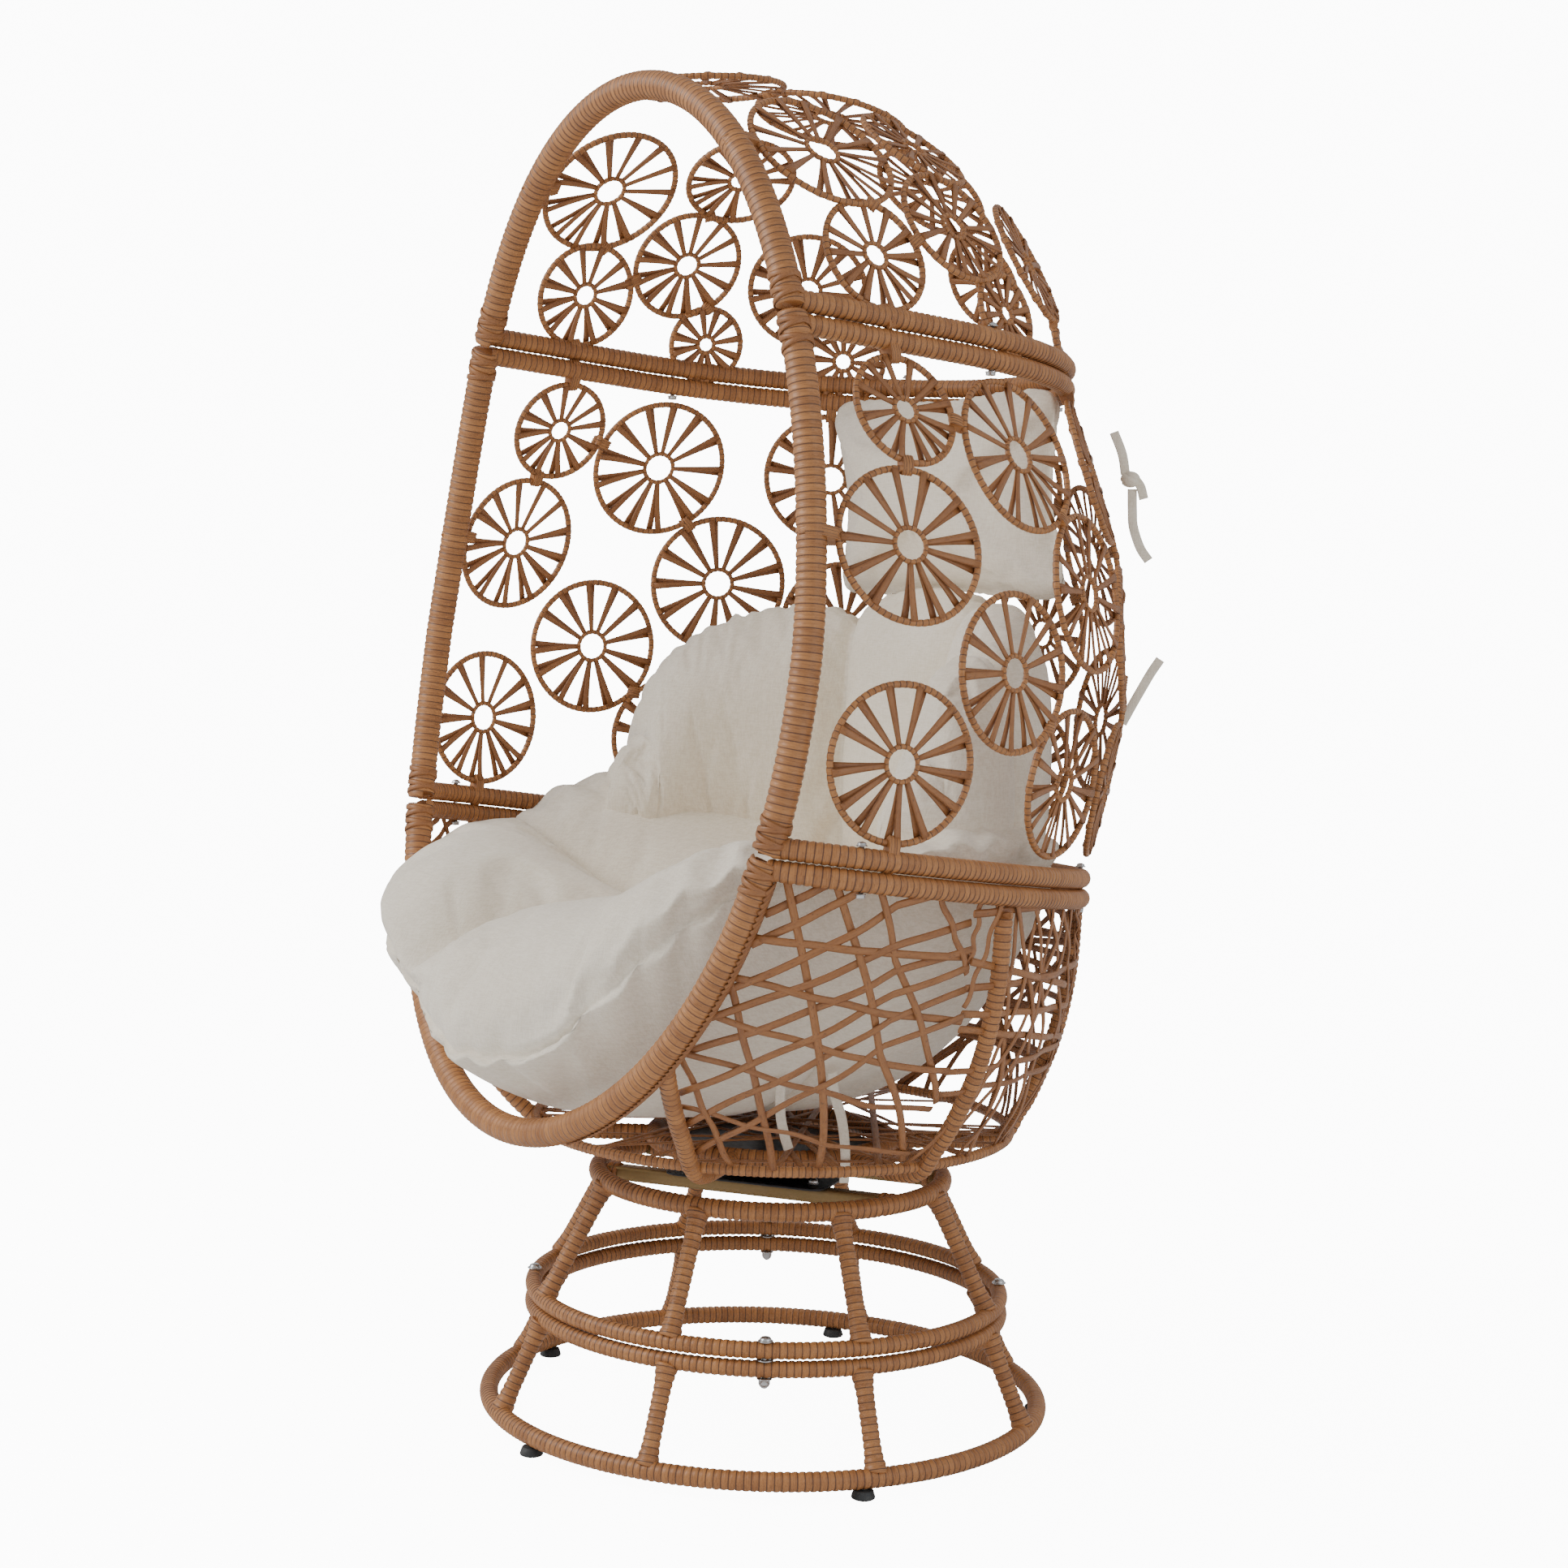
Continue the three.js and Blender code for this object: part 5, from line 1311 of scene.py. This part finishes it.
def back_cushion_points(columns=136, rows=260):
    """A curved wall: a cross section carried round a half ellipse from one side to the other. The section
    is a superellipse |a|^2.6 + |b|^2.6 = 1, squeezed at each valley and rounded off to a point at both
    ends, and its top climbs towards the middle of the back."""
    share, psi = polar_grid(np.linspace(0, 1, rows), columns)
    eased = share - np.sin(2 * math.pi * share) / (2 * math.pi) * 0.55
    first, last = BACK_SPAN
    degrees = first + (last - first) * eased
    valleys = (first, *BACK_VALLEYS, last)
    phi = np.radians(degrees)
    lobe = between_valleys(valleys, degrees, 0.40, turn=None)
    end = np.clip(4 * share * (1 - share) * 2.2, 0, 1)
    closing = np.sqrt(1 - (1 - end) ** 2)
    swell = (np.abs(np.cos(psi)) ** 2.6 + np.abs(np.sin(psi)) ** 2.6) ** (-1 / 2.6)
    a, b = swell * np.cos(psi), swell * np.sin(psi)
    rise = np.clip(np.sin(phi), 0, 1) ** 0.36
    high = BACK_SIDE + (BACK_HIGH - BACK_SIDE) * rise - 0.055 * (1 - lobe)
    low = BACK_LOW + 0.055 * (1 - rise)
    z = (high + low) / 2 + (high - low) / 2 * closing * b
    pucker = puckers(phi * 1.7, 21, (23, 37, 51)) * 0.006 * np.exp(-((np.abs(b) - 1) / 0.16) ** 2)
    depth = (0.45 + 0.55 * lobe) * closing * a / 2 + 0.5
    outer_x, outer_y, inner_x, inner_y = *BACK_OUTER, *BACK_INNER
    x = (inner_x + (outer_x - inner_x) * depth + pucker) * np.cos(phi)
    y = BACK_Y + (inner_y + (outer_y - inner_y) * depth + pucker) * np.sin(phi)
    squeeze = np.exp(-(between_valleys(valleys, degrees, 1.0, turn=None) / 0.09) ** 2)
    seam = np.exp(-((np.abs(b) - 1) / 0.02) ** 2) * (np.abs(a) < 0.25)
    weights = np.maximum(squeeze * (np.abs(a) > 0.3) * (a < 0), seam)
    return np.stack([x, y, z + pucker], axis=-1), weights


def inflate(obj, weights, pressure, cap, frames=18, slack=0.035):
    """Fills a sewn cover with stuffing: cloth held along its seams and pushed out by pressure, cut a little
    larger than its form so that it wrinkles. No point moves further than cap."""
    mesh = obj.data
    group = obj.vertex_groups.new(name="seams")
    level = np.round(np.clip(weights, 0, 1) * 8).astype(int)
    for step in range(1, 9):
        group.add(np.flatnonzero(level == step).tolist(), step / 8, "REPLACE")
    cloth = obj.modifiers.new("stuffing", "CLOTH")
    settings = cloth.settings
    settings.quality = 5
    settings.mass = 0.25
    settings.tension_stiffness = settings.compression_stiffness = 18
    settings.shear_stiffness = 6
    settings.bending_stiffness = 0.35
    settings.air_damping = 4
    settings.use_pressure = True
    settings.uniform_pressure_force = pressure
    settings.shrink_min = -slack
    settings.vertex_group_mass = group.name
    settings.pin_stiffness = 3
    settings.effector_weights.gravity = 0
    cloth.collision_settings.use_collision = False
    cloth.point_cache.frame_start, cloth.point_cache.frame_end = 1, frames
    for frame_number in range(1, frames + 1):
        bpy.context.scene.frame_set(frame_number)
    evaluated = obj.evaluated_get(bpy.context.evaluated_depsgraph_get()).data
    before = np.empty(len(mesh.vertices) * 3, np.float32)
    after = np.empty_like(before)
    mesh.vertices.foreach_get("co", before)
    evaluated.vertices.foreach_get("co", after)
    move = (after - before).reshape(-1, 3)
    length = np.linalg.norm(move, axis=1, keepdims=True)
    move *= cap * np.tanh(length / cap) / np.maximum(length, 1e-9)
    obj.modifiers.remove(cloth)
    obj.vertex_groups.remove(group)
    bpy.context.scene.frame_set(1)
    mesh.vertices.foreach_set("co", before + move.ravel())
    mesh.update()


def cushion(name, part, weights, node_name, pressure, cap):
    obj = new_object(name, part, MATERIALS["canvas"], smooth=True)
    inflate(obj, weights, pressure, cap)
    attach(obj, "seat")
    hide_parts(node_name)
    return obj


class EGG_OT_seat(bpy.types.Operator):
    """Builds the lobed seat cushion and stuffs it"""
    bl_idname = "egg.seat"
    bl_label = "Seat cushion"

    def execute(self, context):
        points, weights = seat_cushion_points()
        cushion("tufted_seat", pad_part(points), pad_weights(weights), "seat_cushion", 3.0, 0.022)
        return {"FINISHED"}


class EGG_OT_back(bpy.types.Operator):
    """Builds the lobed back cushion and stuffs it"""
    bl_idname = "egg.back"
    bl_label = "Back cushion"

    def execute(self, context):
        points, weights = back_cushion_points()
        cushion("tufted_back", pad_part(points), pad_weights(weights), "back_cushion", 3.0, 0.022)
        return {"FINISHED"}


class EGG_OT_pillow(bpy.types.Operator):
    """Builds the head pillow and stuffs it"""
    bl_idname = "egg.pillow"
    bl_label = "Head pillow"

    def execute(self, context):
        points, weights = pillow_points()
        cushion("soft_head_pillow", pad_part(points), pad_weights(weights), "head_pillow", 2.0, 0.010)
        return {"FINISHED"}


# ---- ties ---------------------------------------------------------------------------------
TIE_WIDTH = 0.012
TIE_THICK = 0.0016
TIES = {
    "tie_floor_1": ((0.222, -0.154, 0.470), (0.212, -0.147, 0.448), (0.200, -0.136, 0.420),
                    (0.190, -0.122, 0.395), (0.188, -0.114, 0.378)),
    "tie_floor_2": ((0.248, -0.100, 0.478), (0.241, -0.090, 0.450), (0.236, -0.074, 0.418),
                    (0.227, -0.060, 0.375), (0.219, -0.054, 0.338)),
    "tie_pillow_tail": ((0.232, 0.352, 1.172), (0.236, 0.350, 1.145), (0.238, 0.351, 1.125),
                        (0.243, 0.359, 1.100), (0.250, 0.368, 1.084)),
    "tie_back": ((0.234, 0.350, 0.880), (0.241, 0.359, 0.903), (0.248, 0.368, 0.925),
                 (0.255, 0.376, 0.945), (0.262, 0.384, 0.962)),
}
KNOT_ENDS = {
    "pillow_tie_upper": (((0.226, 0.345, 1.190), (0.222, 0.342, 1.215), (0.214, 0.334, 1.242)),
                         (0.9, -0.6, 0.1)),
    "pillow_tie_bow": (((0.232, 0.352, 1.188), (0.240, 0.358, 1.176), (0.243, 0.362, 1.160)),
                       (0.9, -0.6, 0.3)),
}
KNOT = np.array([0.230, 0.350, 1.184])


def strap(name, route, facing):
    path = smooth_path(route, 60)
    part = strands(path[None], np.asarray(facing, float), TIE_WIDTH, TIE_THICK, sides=10)
    obj = new_object(name, part, MATERIALS["canvas"])
    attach(obj, "seat")
    return obj, path


class EGG_OT_ties(bpy.types.Operator):
    """Builds the canvas ties of the cushion and the pillow, and the knot"""
    bl_idname = "egg.ties"
    bl_label = "Ties"

    def execute(self, context):
        knot = self.knot()
        ends = [strap(name, *end)[0] for name, end in KNOT_ENDS.items()]
        for name, route in TIES.items():
            facing = (1, -0.5, 0) if "floor" in name else (0.9, -0.6, 0.1)
            obj, path = strap(f"canvas_{name}", route, facing)
            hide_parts(name)
        return {"FINISHED"}

    def knot(self):
        """A flattened ball with spiral creases where the strap crosses itself."""
        s, theta = polar_grid(np.linspace(0, math.pi, 20), 28)
        crease = 1 - 0.16 * np.exp(-(np.sin(theta + 2.2 * np.cos(s)) / 0.28) ** 2)
        r = 0.0125 * crease
        across = r * np.sin(s)
        points = np.stack([across * np.cos(theta), across * np.sin(theta), 0.82 * r * np.cos(s)], axis=-1)
        obj = new_object("pillow_tie_knot", pad_part(points + KNOT), MATERIALS["canvas"], smooth=True)
        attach(obj, "seat")
        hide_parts("tie_pillow_knot")
        return obj


# ---- stage --------------------------------------------------------------------------------
CAMERA = {"lens": 59.74, "sensor": 36, "yaw": -53.418, "pitch": 4.037, "roll": 1.948,
          "place": (2.5955, -1.9257, 1.0196)}
LIGHTS = {"key": ((-1.2, -3.0, 2.8), 2.0), "fill": ((3.6, 0.6, 1.8), 2.6)}
LIGHTS_AIM = (0, 0, 0.9)


class EGG_OT_stage(bpy.types.Operator):
    """Sets the floor, the soft lights and the camera"""
    bl_idname = "egg.stage"
    bl_label = "Stage"

    def execute(self, context):
        self.camera(context)
        self.floor(context)
        self.lights(context)
        return {"FINISHED"}

    def camera(self, context):
        data = bpy.data.cameras.new("camera")
        data.sensor_width = CAMERA["sensor"]
        data.lens = CAMERA["lens"]
        camera = bpy.data.objects.new("camera", data)
        context.scene.collection.objects.link(camera)
        context.scene.camera = camera
        yaw, pitch, roll = (math.radians(CAMERA[name]) for name in ("yaw", "pitch", "roll"))
        ahead = np.array([math.sin(yaw) * math.cos(pitch), math.cos(yaw) * math.cos(pitch), -math.sin(pitch)])
        level = np.array([math.cos(yaw), -math.sin(yaw), 0])
        upright = np.cross(level, ahead)
        right = math.cos(roll) * level + math.sin(roll) * upright
        up = -math.sin(roll) * level + math.cos(roll) * upright
        turn = Matrix(np.stack([right, up, -ahead], axis=1).tolist()).to_4x4()
        turn.translation = CAMERA["place"]
        camera.matrix_world = turn

    def floor(self, context):
        """A round floor that curves up into a backdrop: height = rise * max(0, (share - flat) / curved)^2.6,
        where share is the distance from the middle over the floor's reach."""
        settings = context.scene.egg_stage
        rings, around = 40, 64
        furthest, rise, flat, curved = 9.0, 3.0, 0.55, 0.45
        share = np.linspace(0, 1, rings)
        reach = furthest * share
        height = rise * np.maximum(0, (share - flat) / curved) ** 2.6
        angle = 2 * math.pi * np.arange(around) / around
        x, y = reach[:, None] * np.cos(angle), reach[:, None] * np.sin(angle)
        points = np.stack([x, y, np.repeat(height[:, None], around, axis=1)], axis=-1).reshape(-1, 3)
        quads = ring_quads(rings, around)
        part = (points, quads.ravel(), np.full(len(quads), 4), np.zeros((len(quads) * 4, 2)))
        material, tree = new_material("pale floor")
        shader = tree.nodes["Principled BSDF"]
        shader.inputs["Base Color"].default_value = settings.floor
        shader.inputs["Roughness"].default_value = 0.9
        shader.inputs["Emission Color"].default_value = (1, 1, 1, 1)
        seen = node(tree, "ShaderNodeLightPath").outputs["Is Camera Ray"]
        tree.links.new(maths(tree, "MULTIPLY", seen, settings.glow), shader.inputs["Emission Strength"])
        new_object("floor", part, material)

    def lights(self, context):
        settings = context.scene.egg_stage
        world = bpy.data.worlds.new("studio")
        world.use_nodes = True
        background = world.node_tree.nodes["Background"]
        background.inputs["Color"].default_value = (1, 1, 1, 1)
        seen = node(world.node_tree, "ShaderNodeLightPath").outputs["Is Camera Ray"]
        strength = maths(world.node_tree, "MULTIPLY_ADD", seen, settings.glow, 0.62)
        world.node_tree.links.new(strength, background.inputs["Strength"])
        context.scene.world = world
        for name, (place, size) in LIGHTS.items():
            data = bpy.data.lights.new(name, "AREA")
            data.size = size
            data.energy = getattr(settings, name)
            light = bpy.data.objects.new(name, data)
            context.scene.collection.objects.link(light)
            back = unit(np.array(place) - LIGHTS_AIM)
            side = unit(np.cross(UP, back))
            turn = Matrix(np.stack([side, np.cross(back, side), back], axis=1).tolist()).to_4x4()
            turn.translation = place
            light.matrix_world = turn


class EGG_PT_chair(bpy.types.Panel):
    """Lists the chair's pieces"""
    bl_idname = "EGG_PT_chair"
    bl_label = "Egg Chair"
    bl_space_type = "VIEW_3D"
    bl_region_type = "UI"
    bl_category = "Egg Chair"

    def draw(self, context):
        for operator in OPERATORS:
            self.layout.operator(operator.bl_idname)


SETTINGS = {"egg_wicker": WickerSettings, "egg_metal": MetalSettings, "egg_cloth": ClothSettings,
            "egg_stage": StageSettings}
OPERATORS = (EGG_OT_stage, EGG_OT_base, EGG_OT_frames, EGG_OT_wheels, EGG_OT_weave, EGG_OT_hardware,
             EGG_OT_seat, EGG_OT_back, EGG_OT_pillow, EGG_OT_ties)


def register():
    for cls in (*SETTINGS.values(), *OPERATORS, EGG_PT_chair):
        bpy.utils.register_class(cls)
    for name, cls in SETTINGS.items():
        setattr(bpy.types.Scene, name, bpy.props.PointerProperty(type=cls))


def unregister():
    for name in SETTINGS:
        delattr(bpy.types.Scene, name)
    for cls in (EGG_PT_chair, *reversed(OPERATORS), *reversed(list(SETTINGS.values()))):
        bpy.utils.unregister_class(cls)


def run(operator):
    family, name = operator.bl_idname.split(".")
    getattr(getattr(bpy.ops, family), name)()


def main():
    register()
    make_materials()
    for operator in OPERATORS:
        run(operator)


if __name__ == "__main__":
    main()
